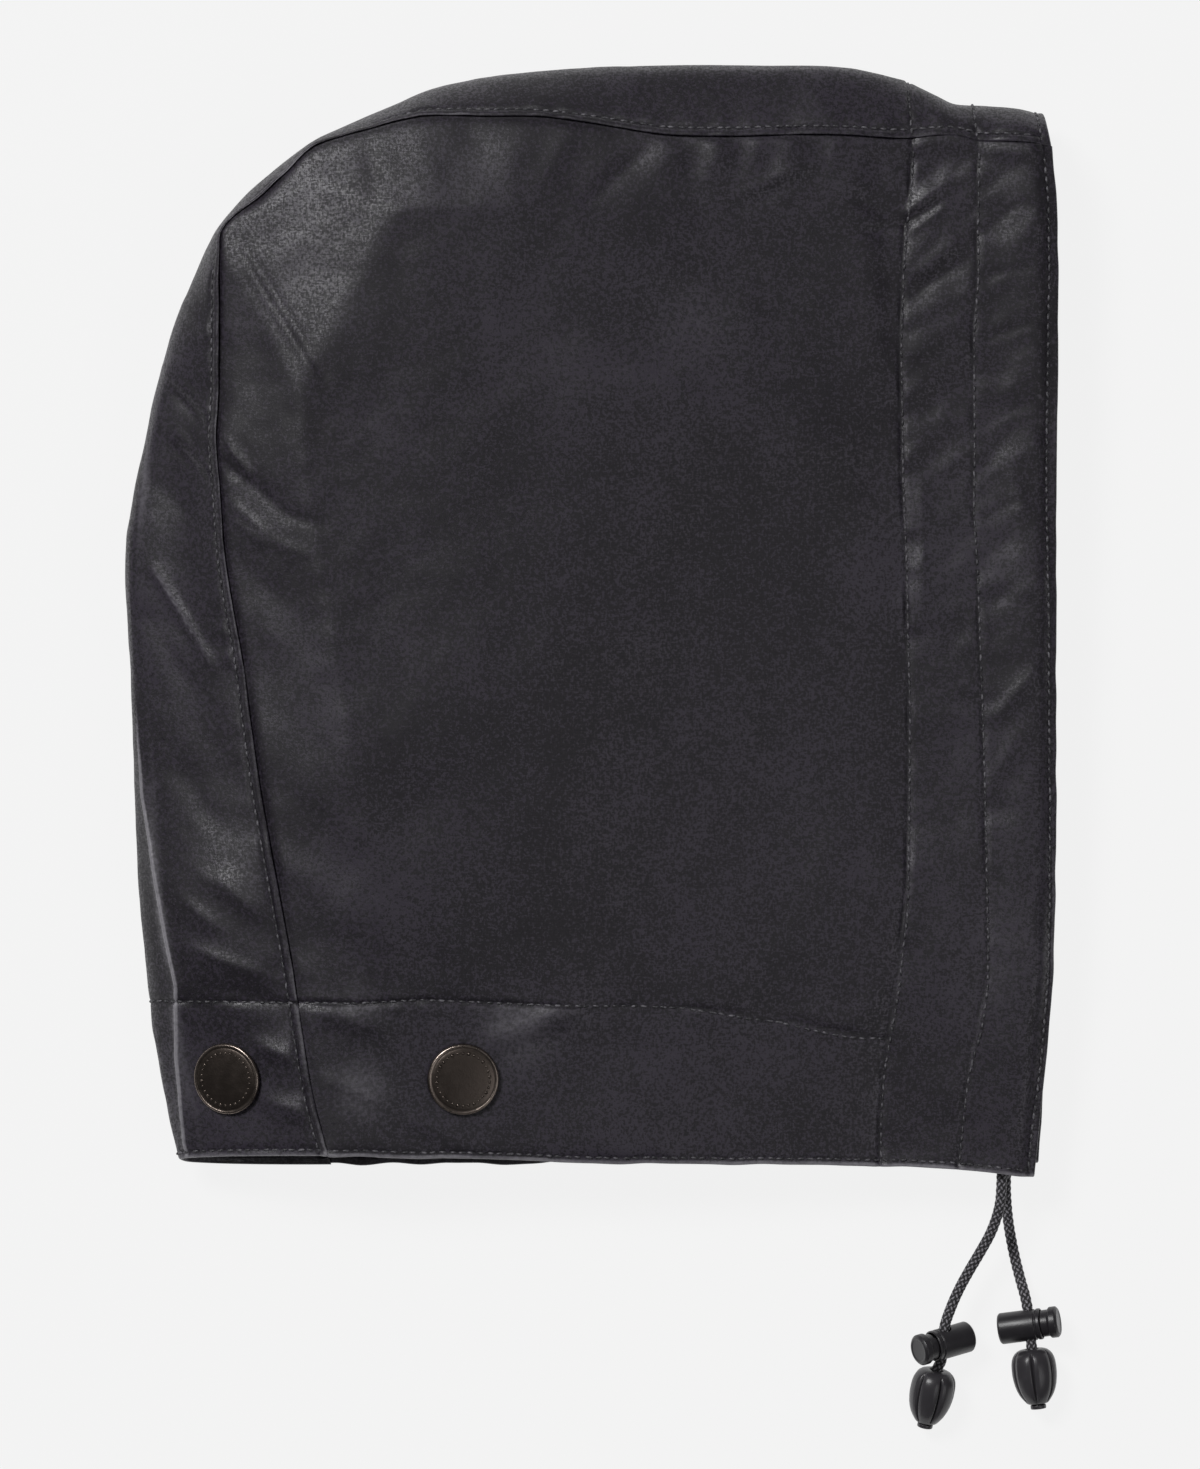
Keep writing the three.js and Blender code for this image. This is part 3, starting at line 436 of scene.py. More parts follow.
def drilled(fitted, cutters, sharp):  # takes closed forms out of a piece
    for points, faces in cutters:
        mesh = bpy.data.meshes.new("drill")
        mesh.from_pydata((points * toMetres).tolist(), [], faces)
        drill = bpy.data.objects.new("drill", mesh)
        scene.collection.objects.link(drill)
        cut = fitted.modifiers.new("cut", "BOOLEAN")
        cut.operation, cut.solver, cut.object = "DIFFERENCE", "EXACT", drill
        bpy.context.view_layer.update()
        shown = fitted.evaluated_get(bpy.context.evaluated_depsgraph_get())
        fitted.data = bpy.data.meshes.new_from_object(shown)
        fitted.modifiers.clear()
        bpy.data.objects.remove(drill)
    fitted.data.set_sharp_from_angle(angle=math.radians(sharp))
    return fitted


# Cord locks: a barrel with a blind bore, crossed by the cord's hole, and a sprung plunger
lockLook = {"diameter": 8.8, "barrel": 12.1, "head": 2.6, "stem": 6.0, "travel": 2.0, "clearance": 0.35,
            "crossing": 3.6, "stemBelowSlot": 1.6, "sides": 72, "groove": 0.28, "sharp": 38,
            "holeSides": 40, "holeReach": 9, "slotReach": 6}
lockPlaces = {
    "near": {"place": (98.79, -202.43, 9.66), "heading": (-0.08845, -0.96272, -0.25562),
             "turn": 194, "tilt": 30},
    "far": {"place": (123.04, -197.48, 6.40), "heading": (0.10774, -0.98949, 0.09648),
            "turn": 8, "tilt": 12},
}


def cordLock(side, spot, look):
    aim, rise = math.radians(spot["turn"]), math.radians(spot["tilt"])
    axis = np.array([math.cos(aim) * math.cos(rise), math.sin(aim) * math.cos(rise), math.sin(rise)])
    heading = np.array(spot["heading"])
    skew = abs(axis.dot(heading))
    hole = cordLook["diameter"] / 2 + look["clearance"]
    stem, wide = look["stem"] / 2, look["diameter"] / 2
    slot = hole + stem * skew
    stemFoot = -slot - look["stemBelowSlot"]
    bore = stem + look["clearance"]
    boreFoot = stemFoot - look["travel"] - look["clearance"]
    rim, foot = look["crossing"], look["crossing"] - look["barrel"]
    groove = look["groove"]
    cup, collar = wide - 0.45, wide - 0.62
    barrelProfile = rounded([(0, foot + 0.25), (wide - 1.5, foot + 0.25), (wide - 1.1, foot),
                             (wide - 0.45, foot), (wide, foot + 0.5), (wide, rim - 1.75),
                             (wide - groove, rim - 1.6), (wide - groove, rim - 1.25),
                             (wide, rim - 1.1), (wide, rim - 0.2), (wide - 0.2, rim), (cup, rim),
                             (cup, rim - look["travel"] - 0.3), (bore, rim - look["travel"] - 0.3),
                             (bore, boreFoot), (0, boreFoot)], 0.16)
    head = rim + look["travel"] + look["clearance"]
    top = head + look["head"]
    plungerProfile = rounded([(0, stemFoot), (stem - 0.2, stemFoot), (stem, stemFoot + 0.2),
                              (stem, rim + 0.1), (collar, rim + 0.1), (collar, head - 0.25),
                              (wide - 0.2, head), (wide, head + 0.3),
                              (wide, top - 0.62), (wide - 0.7, top), (wide - 1.2, top),
                              (wide - 1.45, top - 0.16), (0, top - 0.16)], 0.2)
    across = unit(heading - axis * heading.dot(axis))
    reach, wing = look["holeReach"], look["slotReach"]
    rodPoints, rodFaces = turned([(0, -reach), (hole, -reach), (hole, reach), (0, reach)],
                                 look["holeSides"])
    rod = (stood(rodPoints, spot["place"], heading, axis), rodFaces)
    points, faces = turned(barrelProfile, look["sides"])
    barrel = fitPiece(f"{side}_lock_barrel", stood(points, spot["place"], axis, across), faces,
                      lockPlastic, stands=[f"lock_{side}_barrel"])
    drilled(barrel, [rod], look["sharp"])
    boxPoints = np.array([(x, y, z) for x in (-wing, wing) for y in (-hole, hole)
                          for z in (-slot, slot + look["travel"])], float)
    boxFaces = [[0, 1, 3, 2], [4, 6, 7, 5], [0, 4, 5, 1], [2, 3, 7, 6], [0, 2, 6, 4], [1, 5, 7, 3]]
    points, faces = turned(plungerProfile, look["sides"])
    plunger = fitPiece(f"{side}_lock_plunger", stood(points, spot["place"], axis, across), faces,
                       lockPlastic, body=f"{side}_plunger",
                       stands=[f"lock_{side}_plunger"])
    drilled(plunger, [(stood(boxPoints, spot["place"], axis, across), boxFaces)], look["sharp"])
    return [barrel, plunger]


locks = {side: cordLock(side, spot, lockLook) for side, spot in lockPlaces.items()}
print("cord locks drilled")

# Bell ends: six lobes with fine grooves between them, and a small foot pressed into the mouth
bellLook = {"diameter": 12.6, "length": 15.5, "lobes": 6, "groove": 0.15, "grooveSpread": 0.055,
            "swell": 0.035, "seat": 6.0, "hole": 1.85, "foot": 4.4, "footLength": 1.5, "footDepth": 3.0,
            "footSides": 48, "sides": 240, "sharp": 50}
bellSections = [(0, 0.42), (0.01, 0.56), (0.03, 0.68), (0.07, 0.80), (0.12, 0.89), (0.18, 0.95),
                (0.25, 0.985), (0.33, 1.0), (0.45, 1.0), (0.55, 0.975), (0.65, 0.93), (0.74, 0.865),
                (0.82, 0.78), (0.88, 0.69), (0.93, 0.60), (0.97, 0.52), (0.99, 0.47), (1.0, 0.42)]
bellPlaces = {
    "near": {"place": (96.99, -209.93, 7.86), "heading": (-0.19171, -0.95853, -0.21088), "turn": -12},
    "far": {"place": (123.74, -204.08, 6.90), "heading": (0.11444, -0.99178, -0.05722), "turn": 24},
}


def bellEnd(side, spot, look):
    radius, length = look["diameter"] / 2, look["length"]
    neck = 0.35 * look["foot"]
    seat = neck + 0.3
    profile = [(0, -look["seat"]), (look["hole"], -look["seat"]), (look["hole"], -0.3),
               (look["hole"] + 0.25, 0)]
    profile += [(radius * size, -length * reach) for reach, size in bellSections]
    profile += [(seat + 0.2, -length), (seat, 0.2 - length), (seat, look["footDepth"] - length),
                (0, look["footDepth"] - length)]
    points, faces = turned(profile, look["sides"])
    reach = np.clip(-points[:, 2] / length, 0, 1)
    wide = np.hypot(points[:, 0], points[:, 1])
    angle = np.arctan2(points[:, 1], points[:, 0]) - math.radians(spot["turn"])
    spacing = 2 * math.pi / look["lobes"]
    offset = (angle / spacing - np.round(angle / spacing)) * spacing
    depth = look["groove"] * np.exp(-(offset / look["grooveSpread"]) ** 2)
    depth += look["swell"] * np.cos(look["lobes"] * angle)
    fade = ease((reach - 0.02) / 0.16) * ease((1 - reach) / 0.12) * (wide > seat + 0.25)
    points[:, :2] *= (1 - np.clip(depth, 0, 1) * fade)[:, None]
    up = -np.array(spot["heading"])
    bell = fitPiece(f"{side}_bell", stood(points, spot["place"], up, (1, 0, 0)), faces, bellPlastic,
                    stands=[f"bell_{side}"])
    bell.data.set_sharp_from_angle(angle=math.radians(look["sharp"]))
    wideFoot, top = look["foot"] / 2, look["footDepth"] - 0.6 - length
    footProfile = rounded([(0, top), (neck, top), (neck, -length - 0.3), (wideFoot, -length - 0.3),
                           (wideFoot, -length - look["footLength"]), (0, -length - look["footLength"])],
                          0.3)
    points, faces = turned(footProfile, look["footSides"])
    foot = fitPiece(f"{side}_bell_foot", stood(points, spot["place"], up, (1, 0, 0)), faces,
                    bellPlastic, stands=[f"bell_{side}_foot"])
    foot.data.set_sharp_from_angle(angle=math.radians(look["sharp"]))
    return [bell, foot]


bells = {side: bellEnd(side, spot, bellLook) for side, spot in bellPlaces.items()}
for cordPiece, line, length, side in ((nearCord, nearLine, nearLength, "near"),
                                      (farCord, farLine, farLength, "far")):
    (line[0] * toMetres).tolist()
    length * toMetres
    (line * toMetres).tolist()
print("bell ends on the cords")

# Press studs: a domed cap with a rolled rim and a ring of beads, and a socket with a sprung lip
studLook = {"diameter": 20.0, "post": 4.0, "fit": 0.3, "rimWide": 0.62, "rimHigh": 0.82,
            "shoulder": 1.42, "dome": 0.5, "beads": 30, "beadRing": 7.35, "bead": 0.42, "sides": 96,
            "sharp": 55}
socketLook = {"diameter": 12.4, "height": 2.8, "rubbedFrom": 5.3, "sides": 72, "sharp": 40}
studPlaces = {
    "near_front": {"place": (-35.65, -127.56, 30.72), "up": (0.06301, -0.08622, 0.99428)},
    "far_front": {"place": (-35.65, -127.56, 2.7), "up": (0, -0.0001, -1)},
    "near_back": {"place": (-101.15, -127.56, 25.32), "up": (-0.39246, -0.10879, 0.91331)},
    "far_back": {"place": (-101.15, -127.56, 5.6), "up": (-0.21273, -0.03544, -0.97647)},
}
doubleCloth = 2.0


def capHeight(radius, look):
    return look["shoulder"] + look["dome"] * (1 - (radius / (look["diameter"] / 2)) ** 2)


def pressStud(side, spot, look, socket):
    reach, post = look["diameter"] / 2, look["post"] / 2
    place, up = np.array(spot["place"]), unit(np.array(spot["up"], float))
    postFoot = -doubleCloth - 2 * look["fit"] - socket["height"] / 3
    profile = rounded([(0, postFoot), (post, postFoot), (post, 0), (reach - 0.5, 0)], 0.2)[:-1]
    rimWide, rimHigh, beadRing = look["rimWide"], look["rimHigh"], look["beadRing"]
    for k in range(11):  # the rolled rim
        angle = math.radians(-90 + 20 * k)
        profile.append((reach - rimWide + rimWide * math.cos(angle), rimHigh + rimHigh * math.sin(angle)))
    inner = reach - 1.2
    profile += [(inner, look["shoulder"]), (inner - 0.18, capHeight(inner, look) - 0.05)]
    profile += [(radius, capHeight(radius, look)) for radius in (8.2, beadRing, 6.7, 5.2, 3.4, 1.6, 0)]
    points, faces = turned(profile, look["sides"])
    wide = np.hypot(points[:, 0], points[:, 1])
    rub = 0.75 * ease((wide - (reach - 1.1)) / 0.4) * ease((points[:, 2] - 0.7) / 0.6)
    allPoints, allFaces, allTone = [points], list(faces), [rub]
    beadProfile = [(look["bead"], -0.1), (0.32, 0.11), (0.18, 0.21), (0, 0.24)]
    count = len(points)
    for k in range(look["beads"]):
        angle = 2 * math.pi * (k + 0.5) / look["beads"]
        beadPoints, beadFaces = turned(beadProfile, 10)
        beadPoints = beadPoints * (1.0 if k % 3 else 1.35)
        beadPoints = beadPoints + (beadRing * math.cos(angle), beadRing * math.sin(angle),
                                   capHeight(beadRing, look))
        allPoints.append(beadPoints)
        allTone.append(np.full(len(beadPoints), 0.22))
        allFaces += [[corner + count for corner in face] for face in beadFaces]
        count += len(beadPoints)
    points = np.vstack(allPoints)
    cap = fitPiece(f"{side}_stud_cap", stood(points, place + up * look["fit"], up, (1, 0, 0)), allFaces,
                   capBronze, stands=[f"stud_{side}_cap"],
                   values={"rub": ("FLOAT", np.concatenate(allTone))})
    cap.data.set_sharp_from_angle(angle=math.radians(look["sharp"]))
    outer, height = socket["diameter"] / 2, socket["height"]
    mouth, clear = 0.55 * outer, post + look["fit"]
    socketProfile = rounded([(clear, 0), (outer, 0), (outer, 0.5 - height), (outer - 0.5, -height),
                             (mouth + 0.7, -height), (mouth + 0.2, -height + 0.15), (mouth, -height + 0.5),
                             (mouth + 0.5, -height / 2), (clear, -height / 2), (clear, 0)], 0.22)[1:-1]
    points, faces = turned([*socketProfile, socketProfile[0]], socket["sides"])
    rub = ease((np.hypot(points[:, 0], points[:, 1]) - socket["rubbedFrom"]) / 0.8)
    made = fitPiece(f"{side}_stud_socket",
                    stood(points, place - up * (doubleCloth + look["fit"]), up, (1, 0, 0)), faces,
                    socketBronze, stands=[f"stud_{side}_socket"],
                    values={"rub": ("FLOAT", rub)})
    made.data.set_sharp_from_angle(angle=math.radians(socket["sharp"]))


for side, spot in studPlaces.items():
    pressStud(side, spot, studLook, socketLook)
print("press studs pressed")

# The cloth. Seam stations run from the nape over the corner to the front edge: the near seam's place,
# the outermost line of the gusset beside it, and how far the gusset falls and rises from its seams.
seamStations = [
    (-73.1, -149.1, 32.6, -115.8, -150.9, 17.3, 4.8), (-77.6, -131.5, 33.1, -119.6, -132.8, 16.8, 4.8),
    (-80.6, -113.3, 33.6, -122.8, -113.6, 16.3, 4.8), (-82.9, -97.3, 34.1, -124.8, -97.1, 15.4, 4.8),
    (-86.5, -76.9, 34.6, -126.6, -77.0, 14.4, 4.8), (-89.3, -61.7, 34.8, -127.2, -60.6, 13.4, 4.8),
    (-92.4, -43.8, 35.0, -127.9, -42.7, 12.5, 4.8), (-94.6, -27.9, 35.2, -128.6, -26.7, 11.5, 4.8),
    (-96.9, -10.8, 35.4, -129.2, -9.4, 10.6, 5.3), (-99.5, 3.5, 35.6, -130.2, 3.8, 10.1, 5.3),
    (-101.8, 18.6, 35.8, -130.1, 19.4, 9.6, 5.8), (-103.0, 34.6, 36.0, -128.2, 34.0, 9.1, 5.8),
    (-104.2, 50.8, 36.3, -125.2, 49.8, 8.6, 6.2), (-103.6, 62.0, 36.5, -122.8, 61.2, 8.6, 6.2),
    (-103.3, 84.4, 37.1, -116.4, 83.7, 8.6, 7.7), (-103.3, 101.2, 37.5, -109.2, 100.2, 10.1, 9.1),
    (-102.8, 108.2, 37.4, -105.6, 107.4, 10.6, 9.6),
    (-100.0, 111.9, 37.6, -103.0, 111.1, 10.6, 9.6), (-94.6, 115.8, 37.8, -98.5, 116.5, 10.6, 9.6),
    (-91.3, 118.3, 37.9, -95.2, 120.0, 10.6, 9.6), (-84.0, 125.3, 38.2, -87.7, 126.5, 10.6, 9.6),
    (-78.7, 130.6, 38.4, -81.4, 131.5, 10.6, 9.6), (-73.1, 133.4, 38.6, -76.4, 134.8, 10.6, 9.6),
    (-62.4, 136.5, 38.9, -68.0, 138.9, 10.6, 9.6), (-51.8, 139.3, 38.9, -55.6, 144.3, 9.6, 8.6),
    (-44.2, 140.4, 38.9, -47.7, 147.8, 8.6, 7.7), (-30.2, 140.2, 38.7, -35.9, 150.8, 7.7, 6.7),
    (-14.3, 140.1, 38.4, -21.5, 152.9, 6.7, 5.8), (0.8, 138.2, 37.9, -4.0, 154.4, 6.2, 5.3),
    (11.8, 136.4, 37.4, 8.3, 154.9, 5.8, 4.8), (21.0, 135.1, 37.0, 17.5, 155.1, 5.8, 4.8),
    (39.8, 134.8, 36.0, 39.8, 155.5, 5.3, 4.8), (58.2, 135.4, 34.5, 58.0, 155.4, 4.8, 4.8),
    (72.2, 135.2, 33.1, 72.2, 154.7, 4.3, 4.3), (84.3, 134.5, 31.6, 83.8, 152.0, 3.8, 3.8),
    (89.9, 134.7, 31.1, 89.3, 150.7, 3.8, 3.8), (98.3, 135.4, 30.4, 97.4, 147.0, 3.8, 3.8),
    (102.8, 135.2, 30.1, 101.5, 145.1, 3.8, 3.8), (108.4, 133.8, 29.7, 107.5, 144.7, 3.8, 3.8),
    (114.0, 133.6, 29.4, 113.6, 143.9, 3.8, 3.8), (123.2, 133.1, 29.0, 121.8, 142.9, 3.8, 3.8),
    (128.5, 132.3, 28.8, 126.8, 142.2, 3.8, 3.8),
]
cornerStation = 16
nearHem = [
    (-73.1, -149.1, 32.6), (-51.8, -149.7, 30.7), (-30.2, -150.2, 28.8), (-0.3, -151.3, 26.9),
    (30.5, -151.6, 25.0), (58.5, -151.9, 23.1), (80.9, -152.2, 21.6), (100.5, -153.0, 20.2),
    (114.5, -154.4, 19.2), (124.3, -155.5, 18.2),
]
nearFace = [
    (124.3, -155.5, 18.2), (125.7, -139.6, 19.3), (127.7, -120.0, 20.6), (129.1, -100.4, 21.5),
    (129.9, -64.0, 23.0), (129.9, 6.0, 25.4), (130.2, 62.0, 26.7), (130.3, 104.0, 27.8),
    (129.6, 120.8, 28.4), (128.5, 132.3, 28.8),
]
farHem = [(-73.1, -152.5), (-51.0, -152.1), (-30.3, -152.4), (-8.0, -151.9), (30.5, -151.0),
          (83.5, -151.0), (114.8, -152.2), (125.8, -152.4)]
farFace = [(125.8, -152.4), (127.6, -118.2), (129.7, -64.0), (129.7, 6.0), (130.1, 90.0), (128.5, 132.3)]
hemLevel = -149.06
neckHem = 43.0
farLift = 2.7
farHemDrop = 3.4
handleShare = 0.75
# The near panel is lofted over the crown: flat facets meet in creases that run from its back corner
cheekLoft = {
    "rise": 8.4, "backSlope": 0.30, "dent": 0.03, "crownSlope": 0.34, "cornerX": -102.5, "cornerY": 108.5,
    "cornerTurn": -28, "cornerSlope": 0.21, "bend": 0.4, "fallFrom": 0.24, "fallOver": 0.44,
    "aboveHem": 0.45,
}

clothLook = {
    "wall": 0.7, "hemFold": 0.7, "edgeGap": 0.3, "edgeRound": 0.7, "channelGap": 3.6, "leastGap": 0.02,
    "cordFromEdge": 9.2, "cordDepth": 2.6, "channelReach": 8.2, "cordBulge": 1.1, "crestFromEdge": 5.5,
    "crestBehind": 15.5, "crestAhead": 4.5, "facingTilt": 1.1, "tiltFrom": 44, "tiltOver": 22,
    "facingPast": 1.4, "step": 1.35, "farStep": 2.6, "farSize": 0.45,
    "groove": 0.34, "grooveSpread": 0.62, "lineSink": 0.45, "sinkBehind": 2.6, "sinkAhead": 1.1,
    "lineShade": 0.6,
    "pucker": 0.32, "puckerCells": (3.8, 9.5), "puckerReach": 4.5,
    "lapRise": 0.42, "lapDip": 0.7, "lapStitch": 2.6, "farTuck": 0.6,
    "hemStitch": 1.8, "neckOnGusset": 43.6, "stitchPitch": 2.7, "stitchLength": 0.78, "thread": 0.34,
}
# How far the sheets' middle lies inside the rounded front edge
nose = clothLook["wall"] + clothLook["edgeGap"] / 2
# Unevenness of the cloth: size of its cells, rise, turn, stretch and which draw it is
panelRipples = [(46, 0.85, 0, 1.0, 0), (21, 0.42, 30, 1.5, 1), (9.5, 0.20, 70, 1.4, 2),
                (4.4, 0.09, 0, 1.0, 3)]
channelRipples = [(5.2, 0.22, 40, 2.6, 5), (3.6, 0.14, 18, 1.8, 9), (2.6, 0.10, 52, 2.4, 6)]
gussetRipples = [(34, 0.25, 0, 1.0, 0), (15, 0.25, 55, 1.6, 1), (7.5, 0.16, 60, 1.6, 2),
                 (4, 0.07, 0, 1.0, 3)]
# How far the gusset sinks beside its near seam, against the way along that seam from the nape
gussetSag = [(0, 0.0), (32, 0.0), (52, -2.4), (78, -2.2), (106, 1.0), (150, 3.6), (215, 4.4), (250, 2.5)]
# Distances of the sewn lines from the front edge against the height on the face, and the neck hem's
# height against the way along the hem
edgeSewn = [(-148, 2.2), (-135, 2.2), (-126, 1.8), (-107, 1.7), (-70, 1.8), (0, 2.3), (42, 3.0),
            (70, 3.1), (89, 2.9), (118, 2.6), (133, 2.6)]
innerSewn = [(-152, 22.2), (-131, 22.1), (-121, 22.0), (-113, 21.2), (-105, 19.7), (-94, 18.9),
             (-79, 19.3), (-64, 19.9), (-22, 21.0), (17, 22.5), (34, 23.7), (51, 23.6), (70, 23.8),
             (82, 24.0), (98, 22.9), (111, 23.0), (124, 22.1), (135, 20.7)]
outerSewn = [(-153, 43.9), (-139, 45.0), (-121, 45.6), (-112, 45.2), (-105, 44.6), (-95, 43.5),
             (-84, 42.8), (-74, 41.8), (-64, 41.7), (-22, 41.2), (17, 42.1), (42, 43.3), (61, 43.7),
             (79, 44.2), (98, 43.8), (111, 42.8), (121, 41.1), (135, 39.2)]
neckSewn = [(-116, 43.1), (-105, 44.2), (-95, 45.3), (-81, 43.7), (-65, 43.9), (-46, 45.4), (-36, 45.2),
            (-14, 44.8), (18, 44.6), (30, 44.1), (42, 42.5), (49, 41.3), (58, 40.4), (65, 38.8),
            (76, 36.5), (82, 35.9), (130, 35.6)]


def table(rows, value):
    rows = np.array(rows, float)
    return np.interp(value, rows[:, 0], rows[:, 1])


def farHeight(y):  # the far panel lies on the table, raised along its doubled hem
    return farLift * (1 - ease((y - hemLevel - 1.2 * neckHem) / neckHem))


# The gusset crosses the sewn lines of the front hem at the top of the face
faceTop = 133
topEdge, topInner, topOuter = (table(line, faceTop) for line in (edgeSewn, innerSewn, outerSewn))

seamDense = smoothRun(seamStations)
seamReach = lengths(seamDense)
seamLength = seamReach[-1]
cornerReach = seamReach[cornerStation * curveSteps]


def seamAt(distance):  # near seam, far seam, ridge and handles at distances from the nape
    rows = along(seamDense, distance, seamReach)
    near, ridge = rows[..., :3], rows[..., 3:5]
    far = near.copy()
    far[..., 1] -= farHemDrop * (1 - ease((near[..., 1] - hemLevel) / (2 * neckHem)))
    far[..., 2] = farHeight(far[..., 1])
    return near, far, ridge, rows[..., 5], rows[..., 6]


# A panel is stretched between its hem, face, back seam and crown seam
class Panel:
    def __init__(self, hem, face, near):
        self.near = near
        self.hem, self.face = smoothRun(hem), smoothRun(face)
        if not near:
            self.hem = np.column_stack([self.hem, farHeight(self.hem[:, 1])])
            self.face = np.column_stack([self.face, farHeight(self.face[:, 1])])
        self.hemReach, self.faceReach = lengths(self.hem), lengths(self.face)

    def seam(self, distance):
        near, far = seamAt(distance)[:2]
        return near if self.near else far

    def at(self, p, q):
        crown = self.seam(cornerReach + p * (seamLength - cornerReach))
        back = self.seam(q * cornerReach)
        low = along(self.hem, p * self.hemReach[-1], self.hemReach)
        front = along(self.face, q * self.faceReach[-1], self.faceReach)
        p, q = p[..., None], q[..., None]
        nape, corner, tip = (self.seam(np.array(d)) for d in (0.0, cornerReach, seamLength))
        chin = self.hem[-1]
        place = (1 - q) * low + q * crown + (1 - p) * back + p * front
        place = place - (1 - p) * (1 - q) * nape - p * (1 - q) * chin
        place = place - (1 - p) * q * corner - p * q * tip
        if not self.near:
            place[..., 2] = farHeight(place[..., 1])
        return place


def spread(low, high, step):  # places between low and high, about step apart, without the ends
    count = max(int(round((high - low) / step)), 1)
    return [(k + 1) / count for k in range(count - 1)]


def graded(low, high, steps):  # shares of the way from low to high, with steps that change size
    reach, places = low, []
    while reach < high:
        reach += table(steps, reach)
        places.append(reach)
    return [(place - low) / (places[-1] - low) for place in places[:-1]]


# Rows and columns of a sheet lie closer beside its sewn lines, its edges and its seams
besideSizes = (-1.1, -0.45, 0, 0.45, 1.1)
besideEdge = (-0.4, 0, 0.4, 1.1)
seamSteps = (5.4, 3.6, 2.2, 1.2, 0.5, 0)


def besideLine(reach, sizes=besideSizes):
    return [reach + size for size in sizes]


hemRows = [0, 0.15, 0.42, 0.85, *besideLine(clothLook["hemStitch"], besideEdge[:3]), 3.0]


def betweenLines(low, high, shares):  # places between two sewn lines, clear of the rows beside them
    return [low + besideSizes[-1] + (high - low - 2 * besideSizes[-1]) * share for share in shares]


def belowNeck(neck, shares):  # places from the hem's rows up to those beside the neck's line
    return [hemRows[-1] + (neck - besideSizes[-1] - hemRows[-1]) * share for share in shares]


def panelGrid(panel, step):
    probes = 60
    nominal = np.linspace(0, 1, probes + 1)
    flatP, flatQ = np.meshgrid(nominal, nominal)
    probe = panel.at(flatP, flatQ)
    rowLength = np.linalg.norm(np.diff(probe, axis=1), axis=2).sum(1)
    columnLength = np.linalg.norm(np.diff(probe, axis=0), axis=2).sum(0)

    upSteps = [(90, 1.6 * step), (150, 1.0 * step), (185, 0.75 * step)]
    backSteps = [(110, 1.6 * step), (160, 1.0 * step), (175, 0.7 * step)]
    hemStep = min(step, 1.5)

    # Rows, as distances above the hem at each way along it
    def rowsAt(x, total):
        neck = table(neckSewn, x)
        start = neck + 2.0
        rows = hemRows + belowNeck(neck, spread(3, 42, step * 1.4))
        rows += besideLine(neck) + [start]
        rows += [start + (total - seamSteps[0] - start) * share for share in graded(45, 285, upSteps)]
        return rows + [total - size for size in seamSteps]

    # Columns, as distances from the front edge at each height on the face
    def columnsAt(y, total):
        edge, inner, outer = table(edgeSewn, y), table(innerSewn, y), table(outerSewn, y)
        start = outer + 2.0
        columns = [nose, *besideLine(edge, besideEdge)] + betweenLines(edge, inner, spread(3, 20, hemStep))
        columns += besideLine(inner) + betweenLines(inner, outer, spread(22, 42, hemStep))
        columns += besideLine(outer) + [outer + clothLook["facingPast"], start]
        columns += [start + (total - seamSteps[0] - start) * share for share in graded(44, 222, backSteps)]
        return columns + [total - size for size in seamSteps]

    middleLength = columnLength[probes // 2]
    nominalQ = np.array(rowsAt(0.0, middleLength)) / middleLength
    yOfQ = np.interp(nominalQ, nominal, probe[:, int(0.9 * probes), 1])  # read near the face
    lengthOfQ = np.interp(nominalQ, nominal, rowLength)
    fromFront = np.array([columnsAt(y, total) for y, total in zip(yOfQ, lengthOfQ)])[:, ::-1]
    p = np.clip(1 - fromFront / lengthOfQ[:, None], 0, 1)
    middleP = p[len(p) // 2]
    xOfP = np.interp(middleP, nominal, probe[probes // 10, :, 0])  # read near the hem
    lengthOfP = np.interp(middleP, nominal, columnLength)
    aboveHem = np.array([rowsAt(x, total) for x, total in zip(xOfP, lengthOfP)]).T
    q = np.clip(aboveHem / lengthOfP[None, :], 0, 1)
    return {"p": p, "q": q, "place": panel.at(p, q), "fromFront": fromFront, "aboveHem": aboveHem,
            "fromBack": p * lengthOfQ[:, None], "fromCrown": (1 - q) * lengthOfP[None, :]}


